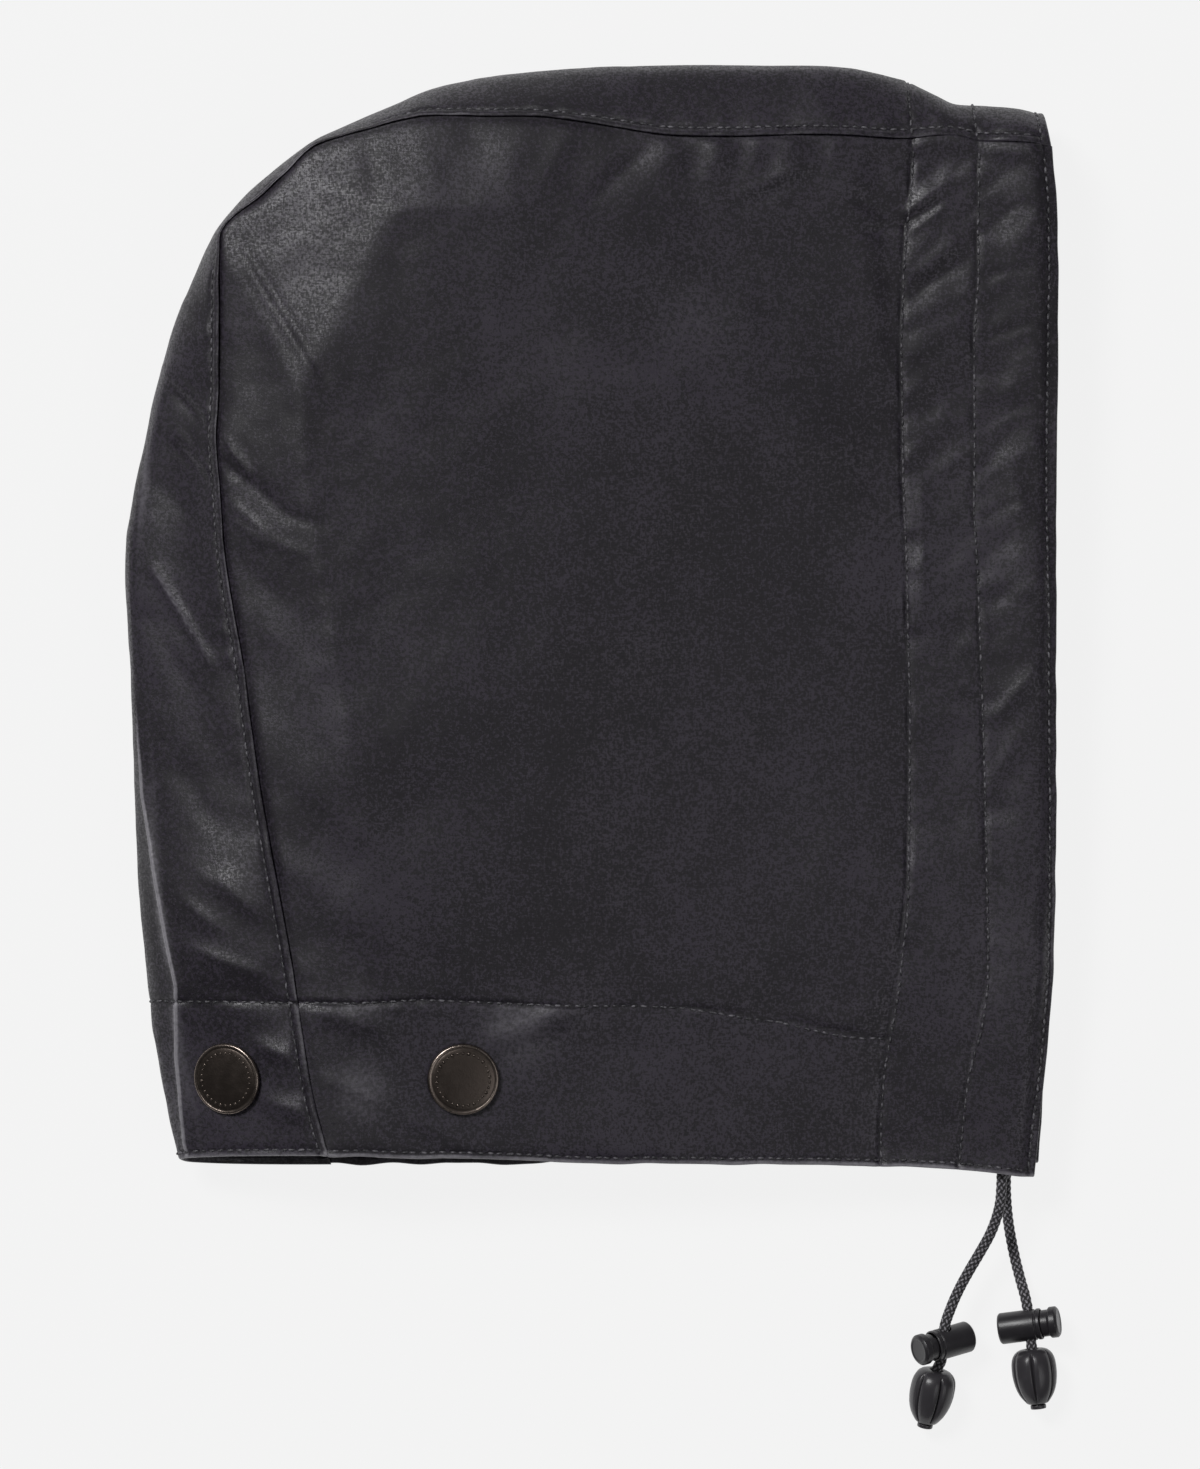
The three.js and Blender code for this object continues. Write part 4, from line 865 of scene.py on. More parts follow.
# Folds lie between two points: from x, y, to x, y, spread, rise and how blunt the crest is
nearFolds = [
    (-96.6, 104.5, -73.6, 68.0, 0.9, -0.5, 0.2), (-98.5, 103.5, -75.4, 66.0, 1.0, 0.6, 0.2),
    (-103.0, 51.0, -95.0, 40.5, 1.0, 0.9, 0.3), (-99.5, 42.5, -84.3, 29.3, 2.0, -0.6, 0.6),
    (-84.3, 29.3, -73.5, 26.0, 2.2, -0.5, 0.8), (-101.5, 34.0, -90.5, 24.5, 1.1, 0.55, 0.3),
    (-101.5, 30.0, -90.5, 21.0, 1.1, 0.45, 0.3), (-91.5, 23.8, -79.0, 18.3, 1.6, 0.35, 0.6),
    (-102.5, 46.0, -98.0, 40.0, 1.2, -0.6, 0.4),
    (-101.5, 20.0, -84.0, 4.0, 5.0, -0.4, 2.0), (-100.0, 7.0, -84.0, -8.0, 4.0, 0.3, 2.0),
    (-62.0, 134.0, -60.0, 116.0, 2.5, -0.3, 1.0), (-48.0, 139.0, -43.5, 122.0, 4.0, 0.15, 1.6),
    (19.0, 134.5, -1.0, 116.0, 1.7, -0.7, 0.5), (26.0, 133.0, 9.0, 114.0, 3.2, 0.35, 1.2),
    (31.0, 135.0, 28.0, 124.0, 1.2, -0.85, 0.3), (37.5, 135.0, 34.0, 122.0, 1.4, 0.8, 0.3),
    (43.0, 135.0, 41.0, 124.5, 1.1, -0.85, 0.3), (43.0, 118.5, 63.0, 128.5, 1.4, 0.7, 0.4),
    (41.0, 114.5, 60.0, 124.0, 1.6, -0.6, 0.5), (51.5, 135.0, 48.5, 125.0, 1.1, -0.85, 0.3),
    (57.0, 135.0, 55.5, 126.0, 1.2, 0.8, 0.3), (64.0, 135.0, 62.0, 122.0, 1.3, -0.85, 0.3),
    (73.0, 118.5, 87.6, 110.0, 1.5, -0.8, 0.4), (69.0, 134.0, 67.5, 124.0, 1.2, 0.4, 0.4),
    (-18.0, 138.5, -24.0, 122.0, 5.0, 0.4, 2.5),
    (-33.0, 139.0, -37.0, 124.0, 4.0, -0.3, 2.2), (-6.0, 137.0, -12.0, 124.0, 3.0, 0.4, 1.2),
    (77.0, 107.8, 87.0, 110.4, 1.6, -0.9, 0.5), (82.3, 106.8, 83.7, 78.8, 2.4, -0.8, 1.0),
    (78.0, 104.0, 79.0, 74.0, 3.0, 0.5, 1.2), (76.0, 133.0, 72.0, 118.0, 2.0, 0.5, 0.8),
    (81.5, 132.0, 80.0, 120.0, 1.6, -0.5, 0.6),
    (87.6, 113.6, 99.5, 122.6, 2.0, 1.0, 0.7), (88.0, 110.4, 97.0, 116.4, 1.5, -1.1, 0.5),
    (87.6, 107.6, 98.0, 115.4, 2.2, 0.9, 0.8), (89.5, 95.5, 101.0, 104.6, 2.2, 0.8, 0.8),
    (89.0, 91.0, 101.5, 99.0, 2.0, -0.8, 0.8), (89.0, 121.0, 99.0, 128.0, 3.0, -0.6, 1.2),
    (90.0, 74.0, 102.0, 84.0, 4.5, 0.6, 2.0), (89.0, 57.0, 102.0, 66.0, 4.0, -0.5, 2.0),
    (109.0, 117.0, 122.0, 127.0, 1.8, 0.15, 0.8), (108.5, 108.0, 121.0, 117.0, 1.6, -0.3, 0.4),
    (112.0, 101.0, 126.0, 108.0, 2.0, 0.15, 0.8), (109.5, 95.5, 123.0, 99.5, 1.4, -0.28, 0.4),
    (112.0, 88.0, 126.0, 95.0, 2.2, 0.15, 0.9), (110.0, 79.0, 127.0, 84.0, 1.6, -0.32, 0.4),
    (109.0, 64.0, 125.0, 73.0, 2.4, 0.2, 1.0), (109.0, 54.0, 124.0, 62.0, 1.6, -0.3, 0.5),
    (110.0, 40.0, 125.0, 49.0, 2.6, 0.25, 1.0), (109.0, 29.0, 124.0, 36.0, 1.8, -0.3, 0.6),
    (110.0, 8.0, 124.0, 16.0, 3.0, 0.3, 1.2), (-75.0, -109.0, -58.0, -113.0, 2.6, 1.3, 0.8),
    (-72.0, -128.0, -58.0, -133.0, 2.4, 1.2, 0.8), (-27.0, -116.5, -3.0, -107.5, 3.0, 1.5, 0.9),
    (-26.0, -122.5, -8.0, -115.0, 2.6, -0.8, 0.8), (-50.0, -139.0, -36.0, -144.0, 2.4, 0.8, 0.8),
    (-96.0, -30.0, -64.0, -58.0, 10.0, 0.9, 4.0),
    (-90.0, -66.0, -62.0, -84.0, 9.0, 0.8, 4.0), (0.0, 66.0, 70.0, 48.0, 26.0, 3.0, 6.0),
    (20.0, 98.0, 48.0, 82.0, 10.0, 0.7, 4.0), (84.0, -98.0, 75.0, -110.0, 2.5, 0.6, 1.0),
    (60.0, -110.0, 76.0, -112.5, 2.4, 0.5, 1.0), (78.0, 60.0, 82.0, 10.0, 4.0, -0.5, 2.0),
    (92.2, 38.0, 92.6, 0.0, 1.2, 0.5, 0.4), (113.0, -26.0, 124.5, -13.5, 1.8, 0.8, 0.6),
    (117.5, 41.0, 121.5, 27.0, 1.5, 0.6, 0.5), (110.0, -48.0, 119.0, -32.0, 2.4, 0.5, 0.8),
]
wornFold = (-123.5, 14.5, -106.0, -13.0, 1.0, 1.0, 0.2)
gussetFolds = [
    (-119.5, 70.5, -105.3, 55.6, 1.2, 0.7, 0.4), (-119.0, 66.0, -106.5, 52.0, 1.2, -0.7, 0.4),
    (-117.0, 52.5, -106.5, 41.5, 1.3, 0.7, 0.4), (-117.0, 48.0, -106.5, 37.0, 1.3, -0.6, 0.4),
    (-113.5, 89.0, -105.5, 78.0, 1.4, 0.5, 0.5), wornFold,
    (-127.0, 3.0, -108.0, -24.0, 3.0, -0.3, 1.0), (-125.5, 40.0, -108.0, 24.0, 3.5, -0.5, 1.2),
    (-113.0, -66.0, -100.0, -76.0, 3.0, 0.4, 1.2), (-118.0, -40.0, -104.0, -56.0, 3.5, -0.4, 1.8),
    (-115.0, -76.0, -104.0, -85.0, 2.6, 1.0, 0.8), (-102.0, -72.0, -92.0, -82.0, 2.2, 0.8, 0.8),
    (-111.0, -91.0, -92.0, -98.0, 2.4, 1.0, 0.7), (-104.0, -102.0, -88.0, -106.0, 2.4, -0.7, 0.8),
    (-92.0, -118.0, -83.0, -122.0, 2.4, 1.2, 0.8), (-90.0, -134.0, -80.0, -137.0, 2.2, 0.9, 0.8),
    (88.0, 149.0, 97.0, 136.0, 3.0, -0.7, 1.0), (60.0, 152.0, 70.0, 137.0, 4.0, 0.6, 1.5),
]

# A sharp crease worn pale runs up the gusset from its hem: x against y
gussetCrease = [(-148.5, -113.2), (-121.7, -115.7), (-101.5, -115.0), (-89.2, -117.6),
                (-48.9, -125.0), (-32.6, -126.6), (-12.0, -127.8)]
creaseLook = {"rise": 1.1, "spread": 1.6, "paled": 0.5, "fadeFrom": 100, "fadeOver": 35}

# Pale patches painted on the near panel where it catches more light, as painted highlight: x, y, reach and
# share
paintedLightSpots = [
    (-20, -112, 12, 0.28), (-64, -131, 9, 0.30), (-66, -103, 8, 0.25), (116, 119, 8, 0.22),
    (-84, 95, 16, 0.16), (30, 120, 9, 0.18), (93, 100, 6, 0.18), (31, 84, 26, 0.22), (102, 38, 24, 0.18),
    (114, -98, 26, 0.16), (70, 118, 16, 0.17), (-20, 104, 34, 0.16), (70, 24, 17, 0.17),
    (-42, 22, 22, 0.14), (-66, -20, 16, 0.12), (48, -62, 30, 0.08), (-52, -84, 22, 0.10),
]
gussetSpots = [(-104, -80, 16, 0.20)]
wearAndLineShadeLook = {"neckHem": 0.15, "neckOnGusset": 0.14, "lowFront": 0.08, "besideLine": 0.16, "lineShadeWide": 0.6}


def alongFold(x, y, fold):  # the share of the way along a fold, and how far from its line
    fromX, fromY, toX, toY = fold[:4]
    runX, runY = toX - fromX, toY - fromY
    share = ((x - fromX) * runX + (y - fromY) * runY) / (runX ** 2 + runY ** 2)
    held = np.clip(share, 0, 1)
    return share, np.hypot(x - fromX - held * runX, y - fromY - held * runY)


def foldRise(x, y, folds):
    total = np.zeros_like(x)
    for fold in folds:
        wide, rise, blunt = fold[4:]
        share, away = alongFold(x, y, fold)
        crest = np.exp(-(np.sqrt(away ** 2 + blunt ** 2) - blunt) / wide * 1.2)
        total += rise * crest * (0.35 + 0.65 * np.sin(math.pi * np.clip(0.1 + 0.8 * share, 0, 1)))
    return total


def uneven(x, y, rows, seed):  # several ripples laid over one another
    return sum(rise * ripple(x, y, cell, seed + draw, turn, stretch)
               for cell, rise, turn, stretch, draw in rows)


def spotted(x, y, spots):  # soft round spots laid over one another
    return sum(share * np.exp(-((x - centreX) ** 2 + (y - centreY) ** 2) / reach ** 2)
               for centreX, centreY, reach, share in spots)


def lesser(first, second, bend):  # the lower of two heights, rounded where they meet
    share = np.clip(0.5 + 0.5 * (second - first) / bend, 0, 1)
    return second * (1 - share) + first * share - bend * share * (1 - share)


def cheekRise(grid):
    x, y, look = grid["place"][..., 0], grid["place"][..., 1], cheekLoft
    turn = math.radians(look["cornerTurn"])
    dented = look["dent"] * np.maximum(look["cornerY"] - y, 0) * (1 - ease((74 - y) / 26))
    back = grid["fromBack"] * (look["backSlope"] + look["dent"] * ease((y - 48) / 26)) - dented
    crown = grid["fromCrown"] * look["crownSlope"]
    corner = ((x - look["cornerX"]) * math.cos(turn) + (y - look["cornerY"]) * math.sin(turn))
    corner = np.maximum(corner, 0) * look["cornerSlope"]
    height = lesser(lesser(back, corner, look["bend"]), crown, look["bend"])
    height = lesser(height, np.full_like(height, look["rise"]), 0.6)
    fall = 1 - ease((grid["p"] - look["fallFrom"]) / look["fallOver"])
    height = (height + np.sqrt(height ** 2 + 0.6)) / 2 - 0.387  # it starts softly from the seams
    return height * fall * ease(grid["q"] / look["aboveHem"])


def onTable(place, normal, relief):  # what lies on the table doesn't sink into it
    room = np.maximum(place[..., 2], 0) / np.maximum(-normal[..., 2], 0.2)
    return np.where(normal[..., 2] < -0.2, np.minimum(relief, room), relief)


def closeTo(distance, wide):  # 1 on a line, fading away within about this width
    return np.exp(-(distance / wide) ** 2)


def channelBump(fromFront):
    reach = (fromFront - clothLook["cordFromEdge"]) / clothLook["channelReach"]
    return np.cos(math.pi / 2 * np.clip(reach, -1, 1)) ** 2


def channelCrest(fromFront):  # the channel's outside is highest near the front edge
    past = fromFront - clothLook["crestFromEdge"]
    reach = np.where(past > 0, past / clothLook["crestBehind"], past / clothLook["crestAhead"])
    return np.cos(math.pi / 2 * np.clip(reach, -1, 1)) ** 2


def sewnRise(distance, run, seed):  # a sewn line sinks, and the cloth beside it puckers
    small, large = clothLook["puckerCells"]
    pull = clothLook["pucker"] * (ripple(run, distance * 0.2, small, seed)
                                  + ripple(run, distance * 0.15, large, seed + 3))
    return (-clothLook["groove"] * closeTo(distance, clothLook["grooveSpread"])
            + pull * np.exp(-np.abs(distance) / clothLook["puckerReach"]) * (1 - closeTo(distance, 0.7)))


def gathers(distance, run, reach, cell, seed):  # short puckers that run off a seam
    return np.exp(-distance / reach) * ease(distance / 2) * ripple(run, distance * 0.3, cell, seed)


def pastNose(fromFront):  # folds start behind the rounded front edge
    return ease((fromFront - nose) / 1.2)


def behindHem(fromFront, y):  # 1 behind the front hem, where the neck hem's own line runs, and 0 in it
    return ease(fromFront - table(outerSewn, y) + 0.5)


def panelRelief(grid, near):
    place = grid["place"]
    x, y = place[..., 0], place[..., 1]
    fromFront, aboveHem = grid["fromFront"], grid["aboveHem"]
    fromSeam = np.minimum(grid["fromBack"], grid["fromCrown"])
    inside = ease(fromSeam / 7) * ease(fromFront / 4) * ease(aboveHem / 4)
    seed = 1 if near else 40
    size = 1.0 if near else clothLook["farSize"]
    relief = size * inside * uneven(x, y, panelRipples, seed)
    if near:
        relief = relief + cheekRise(grid)
        relief = relief + foldRise(x, y, nearFolds) * ease(fromSeam / 3.5) * ease(fromFront / 3)
    inChannel = ease((46 - fromFront) / 4) * ease(fromFront / 4) * ease((y + 40) / 60)
    relief = relief + size * inChannel * uneven(x, y, channelRipples, seed)
    gathered = 0.16 + 0.34 * ease(x / 12) * (1 - ease((x - 70) / 20))  # most of them towards the face
    relief = relief + size * gathered * gathers(grid["fromCrown"], x, 8, 6.5, seed + 7)
    relief = relief + size * 0.35 * gathers(grid["fromBack"], y, 7, 7.5, seed + 8)
    relief = relief + sewnRise(fromFront - table(edgeSewn, y), y, seed + 11) * 0.6
    relief = relief + sewnRise(fromFront - table(innerSewn, y), y, seed + 12)
    pastOuter = fromFront - table(outerSewn, y)
    relief = relief + sewnRise(pastOuter, y, seed + 13)
    sunk = np.where(pastOuter > 0, pastOuter / clothLook["sinkBehind"], -pastOuter / clothLook["sinkAhead"])
    relief = relief - clothLook["lineSink"] * np.exp(-sunk)
    relief = relief + sewnRise(aboveHem - clothLook["hemStitch"], x, seed + 14) * 0.6
    relief = relief + sewnRise(aboveHem - table(neckSewn, x), x, seed + 15) * behindHem(fromFront, y)
    if near:
        tilt = (np.clip((clothLook["tiltFrom"] - fromFront) / clothLook["tiltOver"], 0, 1)
                * np.clip(fromFront / clothLook["crestFromEdge"], 0, 1))
        relief = relief + clothLook["cordBulge"] * channelCrest(fromFront) + clothLook["facingTilt"] * tilt
        relief = relief - clothLook["lapDip"] * closeTo(fromSeam, 1.5) * ease(aboveHem / 4)
    return relief * pastNose(fromFront)


# The panels' tone: wear on the hem, front edge and neck hem, pale patches painted as light, and painted
# shade along the sewn lines
def panelWearAndPaintedLight(grid):
    x, y = grid["place"][..., 0], grid["place"][..., 1]
    fromFront, aboveHem = grid["fromFront"], grid["aboveHem"]
    hem = closeTo(aboveHem, 1.0) * (1.0 + 0.45 * ripple(x, y, 14, 71))
    face = closeTo(fromFront, 1.0) * (0.25 + 0.3 * ripple(x, y, 18, 72))
    onNeck, aboveNeck = behindHem(fromFront, y), aboveHem - table(neckSewn, x)
    rub = hem + face + wearAndLineShadeLook["neckHem"] * onNeck * (1 - ease(aboveNeck))
    rub = rub + wearAndLineShadeLook["lowFront"] * ease((-30 - y) / 40) * (1 - ease((fromFront - 30) / 30))
    # pale patches painted as light
    rub = rub + spotted(x, y, paintedLightSpots)
    # Paler bands beside the sewn lines, and painted shade along the lines themselves
    for line, share in ((fromFront - table(innerSewn, y), 1.0), (fromFront - table(outerSewn, y), 1.0),
                        (fromFront - table(edgeSewn, y), 0.6),
                        (aboveHem - clothLook["hemStitch"], 0.6), (aboveNeck, onNeck)):
        rub = rub + wearAndLineShadeLook["besideLine"] * share * closeTo(line, 1.6) * (0.5 + 0.9 * ripple(x, y, 4, 73))
        rub = rub - clothLook["lineShade"] * share * closeTo(line, wearAndLineShadeLook["lineShadeWide"])
    return np.clip(rub, -1, 1)


def normalsOf(place, sign=1.0):
    acrossRows = np.gradient(place, axis=1)
    upRows = np.gradient(place, axis=0)
    return unit(np.cross(acrossRows, upRows)) * sign


def pinchAt(distance):  # how round the cloth's edge is at this distance from it
    return np.sqrt(np.clip(1 - (1 - np.clip(distance / clothLook["edgeRound"], 0, 1)) ** 2, 0.03, 1))


noseSteps = 7
noseLength = 2.6


# One cloth sheet: the outer layer runs to the front edge, turns round it and comes back as a facing
def sheetPiece(name, place, normal, relief, wall, pinch, gap, facingEnd, threads, rub, stands):
    rows, columns = place.shape[:2]
    single = clothLook["wall"]
    mid = relief - wall / 2
    half = wall / 2 * pinch
    outer = place + normal * (mid + half)[..., None]
    hidden = place + normal * (mid - half)[..., None]
    facing = np.arange(columns - 1, facingEnd - 1, -1)
    facingMid = (relief - single - gap - wall / 2)[:, facing]
    facingHalf = half[:, facing]
    facePlace, faceNormal = place[:, facing], normal[:, facing]
    faceInner = facePlace + faceNormal * (facingMid - facingHalf)[..., None]
    faceHidden = facePlace + faceNormal * (facingMid + facingHalf)[..., None]
    noseNormal = normal[:, -1]
    forward = unit(place[:, -1] - place[:, -2])
    forward = unit(forward - noseNormal * (forward * noseNormal).sum(-1, keepdims=True))
    gapEnd = clothLook["edgeGap"] / 2
    centre = place[:, -1] + noseNormal * (relief[:, -1] - single - gapEnd)[:, None]
    noseOuter, noseHidden = [], []
    for k in range(1, noseSteps + 1):
        angle = math.pi * k / (noseSteps + 1)
        ray = noseNormal * math.cos(angle) + forward * math.sin(angle)
        middle = gapEnd + single / 2
        reach = single / 2 * pinch[:, -1:]
        noseOuter.append(centre + ray * (middle + reach))
        noseHidden.append(centre + ray * (middle - reach))
    noseOuter, noseHidden = np.stack(noseOuter, 1), np.stack(noseHidden, 1)
    skin = np.concatenate([outer, noseOuter, faceInner], 1)
    lining = np.concatenate([hidden, noseHidden, faceHidden], 1)
    path = skin.shape[1]
    total = rows * path
    index = np.arange(total).reshape(rows, path)
    quads = np.stack([index[:-1, :-1], index[:-1, 1:], index[1:, 1:], index[1:, :-1]], -1).reshape(-1, 4)
    inner = quads[:, ::-1] + total
    edges = []
    for line, flip in ((index[0], False), (index[-1], True), (index[:, 0], True), (index[:, -1], False)):
        strip = np.stack([line[:-1], line[:-1] + total, line[1:] + total, line[1:]], -1)
        edges.append(strip[:, ::-1] if flip else strip)
    faces = np.vstack([quads, inner, *edges])
    points = np.vstack([skin.reshape(-1, 3), lining.reshape(-1, 3)])
    first, second, third = points[faces[0, :3]]
    if np.cross(second - first, third - first).dot(normal[0, 0]) < 0:
        faces = faces[:, ::-1]
    noseThreads = np.repeat(threads[:, -1:], noseSteps, 1)
    noseThreads[..., 0] += np.linspace(0.3, noseLength - 0.3, noseSteps)
    backThreads = threads[:, facing].copy()
    backThreads[..., 0] = 2 * threads[:, -1:, 0] + noseLength - backThreads[..., 0]
    allThreads = np.concatenate([threads, noseThreads, backThreads], 1).reshape(-1, 3)
    noseTone = np.repeat(rub[:, -1:], noseSteps, 1)
    allTone = np.concatenate([rub, noseTone, np.zeros((rows, len(facing)))], 1).ravel()
    values = {"threads": ("FLOAT_VECTOR", np.vstack([allThreads, allThreads])),
              "rub": ("FLOAT", np.concatenate([allTone, 0 * allTone]))}
    fitPiece(name, points, faces, cottonCloth, stands=stands, values=values)
    return outer


stitchRows = {"near": [], "far": [], "gusset": []}
stitchSeed = np.random.default_rng(7)


def sew(group, line, normals):  # stitches along a line on the cloth
    pitch, thread = clothLook["stitchPitch"], clothLook["thread"]
    reach = lengths(line)
    count = int((reach[-1] - 1) / pitch)
    if count < 1:
        return
    rings, sides = 7, 6
    starts = 0.5 + pitch * np.arange(count) + stitchSeed.uniform(-0.12, 0.12, count) * pitch
    size = clothLook["stitchLength"] * pitch * stitchSeed.uniform(0.9, 1.08, count)
    share = np.linspace(0, 1, rings)
    distance = starts[:, None] + size[:, None] * share[None, :]
    centre = along(line, distance, reach)
    up = unit(along(normals, distance, reach))
    heading = unit(along(line, distance + 0.05, reach) - along(line, distance - 0.05, reach))
    side = unit(np.cross(heading, up))
    thick = thread * np.sqrt(np.clip(1 - (2 * share - 1) ** 4, 0.05, 1))
    lift = -0.10 + 0.26 * np.sin(math.pi * share)
    slant = stitchSeed.uniform(-0.10, 0.10, count)[:, None] * (2 * share[None, :] - 1) * 1.6
    centre = centre + up * lift[None, :, None] + side * slant[..., None]
    angle = 2 * math.pi * np.arange(sides) / sides
    ring = (side[:, :, None] * np.cos(angle)[None, None, :, None]
            + up[:, :, None] * np.sin(angle)[None, None, :, None])
    stitchRows[group].append(centre[:, :, None] + ring * thick[None, :, None, None])


def stitchPiece(name, group):
    rows = np.concatenate(stitchRows[group])
    count, rings, sides = rows.shape[:3]
    one = np.arange(rings * sides).reshape(rings, sides)
    faces = [[one[r, k], one[r, (k + 1) % sides], one[r + 1, (k + 1) % sides], one[r + 1, k]]
             for r in range(rings - 1) for k in range(sides)]
    ends = [list(one[0][::-1]), list(one[-1])]
    size = rings * sides
    allFaces = [[int(corner) + size * k for corner in face] for k in range(count) for face in faces + ends]
    fitPiece(name, rows.reshape(-1, 3), allFaces, sewingThread)
    print(f"{name}: {count} stitches")


def nearest(values, target):  # which of the values lies nearest to the target
    return int(np.argmin(np.abs(values - target)))


def makePanel(name, group, panel, near, step, stands):
    grid = panelGrid(panel, step)
    place = grid["place"]
    waved = 0.25 if near else 0.55
    place[..., 1] += waved * ripple(place[..., 0], 0, 8, 91 + near) * np.exp(-grid["aboveHem"] / 6)
    place[..., 0] += 0.22 * ripple(place[..., 1], 0, 7, 93 + near) * np.exp(-grid["fromFront"] / 5)
    normal = normalsOf(place, 1.0 if near else -1.0)
    relief = onTable(place, normal, panelRelief(grid, near))
    fromFront, aboveHem = grid["fromFront"], grid["aboveHem"]
    x, y = place[..., 0], place[..., 1]
    row, column = 40, 60  # well inside the panel
    facingEnd = nearest(fromFront[row], table(outerSewn, y[row, -1]) + clothLook["facingPast"])
    aboveNeck = aboveHem - table(neckSewn, x)
    inNeckHem = 1 - ease((aboveNeck - 0.8) / 0.6)
    wall = clothLook["wall"] + clothLook["hemFold"] * inNeckHem * (np.arange(place.shape[1]) < facingEnd)
    pinch = pinchAt(aboveHem)
    gap = clothLook["channelGap"] * channelBump(fromFront) + clothLook["leastGap"]
    gap[:, -1] = clothLook["edgeGap"]
    threads = np.stack([-fromFront, aboveHem, np.zeros_like(x)], -1)
    outer = sheetPiece(name, place, normal, relief, wall, pinch, gap, facingEnd, threads,
                       panelWearAndPaintedLight(grid), stands)
    middle = len(place) // 2
    hemRow = nearest(aboveHem[:, column], clothLook["hemStitch"])
    neckRow = nearest(aboveNeck[:, column], 0)
    sewn = [nearest(fromFront[middle], table(line, y[middle, -1]))
            for line in (edgeSewn, innerSewn, outerSewn)]
    for line in sewn:
        sew(group, outer[hemRow:-2, line], normal[hemRow:-2, line])
    sew(group, outer[hemRow, 2:-1], normal[hemRow, 2:-1])
    sew(group, outer[neckRow, 2:sewn[-1] + 1], normal[neckRow, 2:sewn[-1] + 1])
    return grid, normal


nearGrid, nearNormal = makePanel(
    "near_panel_cloth", "near", Panel(nearHem, nearFace, True), True, clothLook["step"], ["near_panel"])
farGrid, farNormal = makePanel(
    "far_panel_cloth", "far", Panel(farHem, farFace, False), False, clothLook["farStep"], ["far_panel"])
print("panels sewn")

gussetLook = {"denseSteps": 120, "besideCrease": (-0.8, -0.35, 0, 0.35, 0.8, 1.5), "wornWide": 0.75,
              "ridgeAt": 0.40, "ridgeWide": 2.2, "seed": 21}


# The gusset rises from the near seam, rounds its ridge and returns to the far seam
def gussetGrid(step):
    neck, above = clothLook["neckOnGusset"], clothLook["neckOnGusset"] + besideSizes[-1]
    last = seamLength - topOuter - 2.0
    sewnEdge, sewnInner, sewnOuter = (seamLength - line for line in (topEdge, topInner, topOuter))
    columns = hemRows + belowNeck(neck, spread(3, 42, step)) + besideLine(neck)
    columns += [above + (last - above) * share for share in spread(neck, last, step)]
    columns += [last, sewnOuter - clothLook["facingPast"], *besideLine(sewnOuter)]
    columns += betweenLines(sewnOuter, sewnInner, spread(22, 42, step)) + besideLine(sewnInner)
    columns += betweenLines(sewnInner, sewnEdge, spread(3, 20, step))
    columns += [sewnEdge - size for size in besideEdge[::-1]] + [seamLength - nose]
    distance = np.array(columns)
    near, far, ridge, droop, lift = seamAt(distance)
    middle = (near + far) / 2
    out = np.zeros_like(near)
    out[:, :2] = (ridge - middle[:, :2]) / handleShare
    leave, meet = near + out, far + out
    leave[:, 2], meet[:, 2] = near[:, 2] - droop, far[:, 2] + lift
    share = np.linspace(0, 1, gussetLook["denseSteps"] + 1)[:, None, None]
    dense = ((1 - share) ** 3 * near + 3 * share * (1 - share) ** 2 * leave
             + 3 * share ** 2 * (1 - share) * meet + share ** 3 * far)
    gaps = np.linalg.norm(np.diff(dense, axis=0), axis=2)
    reach = np.vstack([np.zeros(len(distance)), np.cumsum(gaps, 0)])
    width = reach[-1]
    sewn = clothLook["lapStitch"]
    edgeRows = [0, 0.14, 0.4, 0.8, 1.4, sewn - 0.45, sewn, sewn + 0.45, sewn + 1.1, sewn + 2.0]
    past = dense[..., 0] - table(gussetCrease, dense[..., 1])
    first = np.maximum(np.argmax(past < 0, axis=0), 1)
    index = np.arange(len(distance))
    before, after = past[first - 1, index], past[first, index]
    found = reach[first - 1, index] + (reach[first, index] - reach[first - 1, index]) * np.clip(
        before / (before - after), 0, 1)
    met = (first > 1) & (distance < creaseLook["fadeFrom"] + creaseLook["fadeOver"])
    crease = np.interp(distance, distance[met], (found / width)[met]) * width
    across = []
    edgeWide = edgeRows[-1]
    for wide, paled in zip(width, crease):
        beside = besideLine(paled, gussetLook["besideCrease"])
        rows = edgeRows + [edgeWide + (beside[0] - edgeWide) * share for share in spread(0, 27, step)]
        rows += beside
        rows += [beside[-1] + (wide - edgeWide - beside[-1]) * share for share in spread(0, 36, step)]
        across.append(rows + [wide - size for size in edgeRows[::-1]])
    across = np.array(across).T
    place = np.stack([along(dense[:, k], across[:, k], reach[:, k]) for k in range(len(distance))], 1)
    planWidth = np.repeat(np.hypot(*(ridge - near[:, :2]).T)[None], len(across), 0)
    return {"planWidth": planWidth, "place": place, "across": across, "fromCrease": across - crease,
            "width": np.repeat(width[None], len(across), 0),
            "run": np.repeat(distance[None], len(across), 0), "edgeRows": edgeRows}


def creaseShare(run):  # the worn crease fades out up the gusset
    return 1 - ease((run - creaseLook["fadeFrom"]) / creaseLook["fadeOver"])


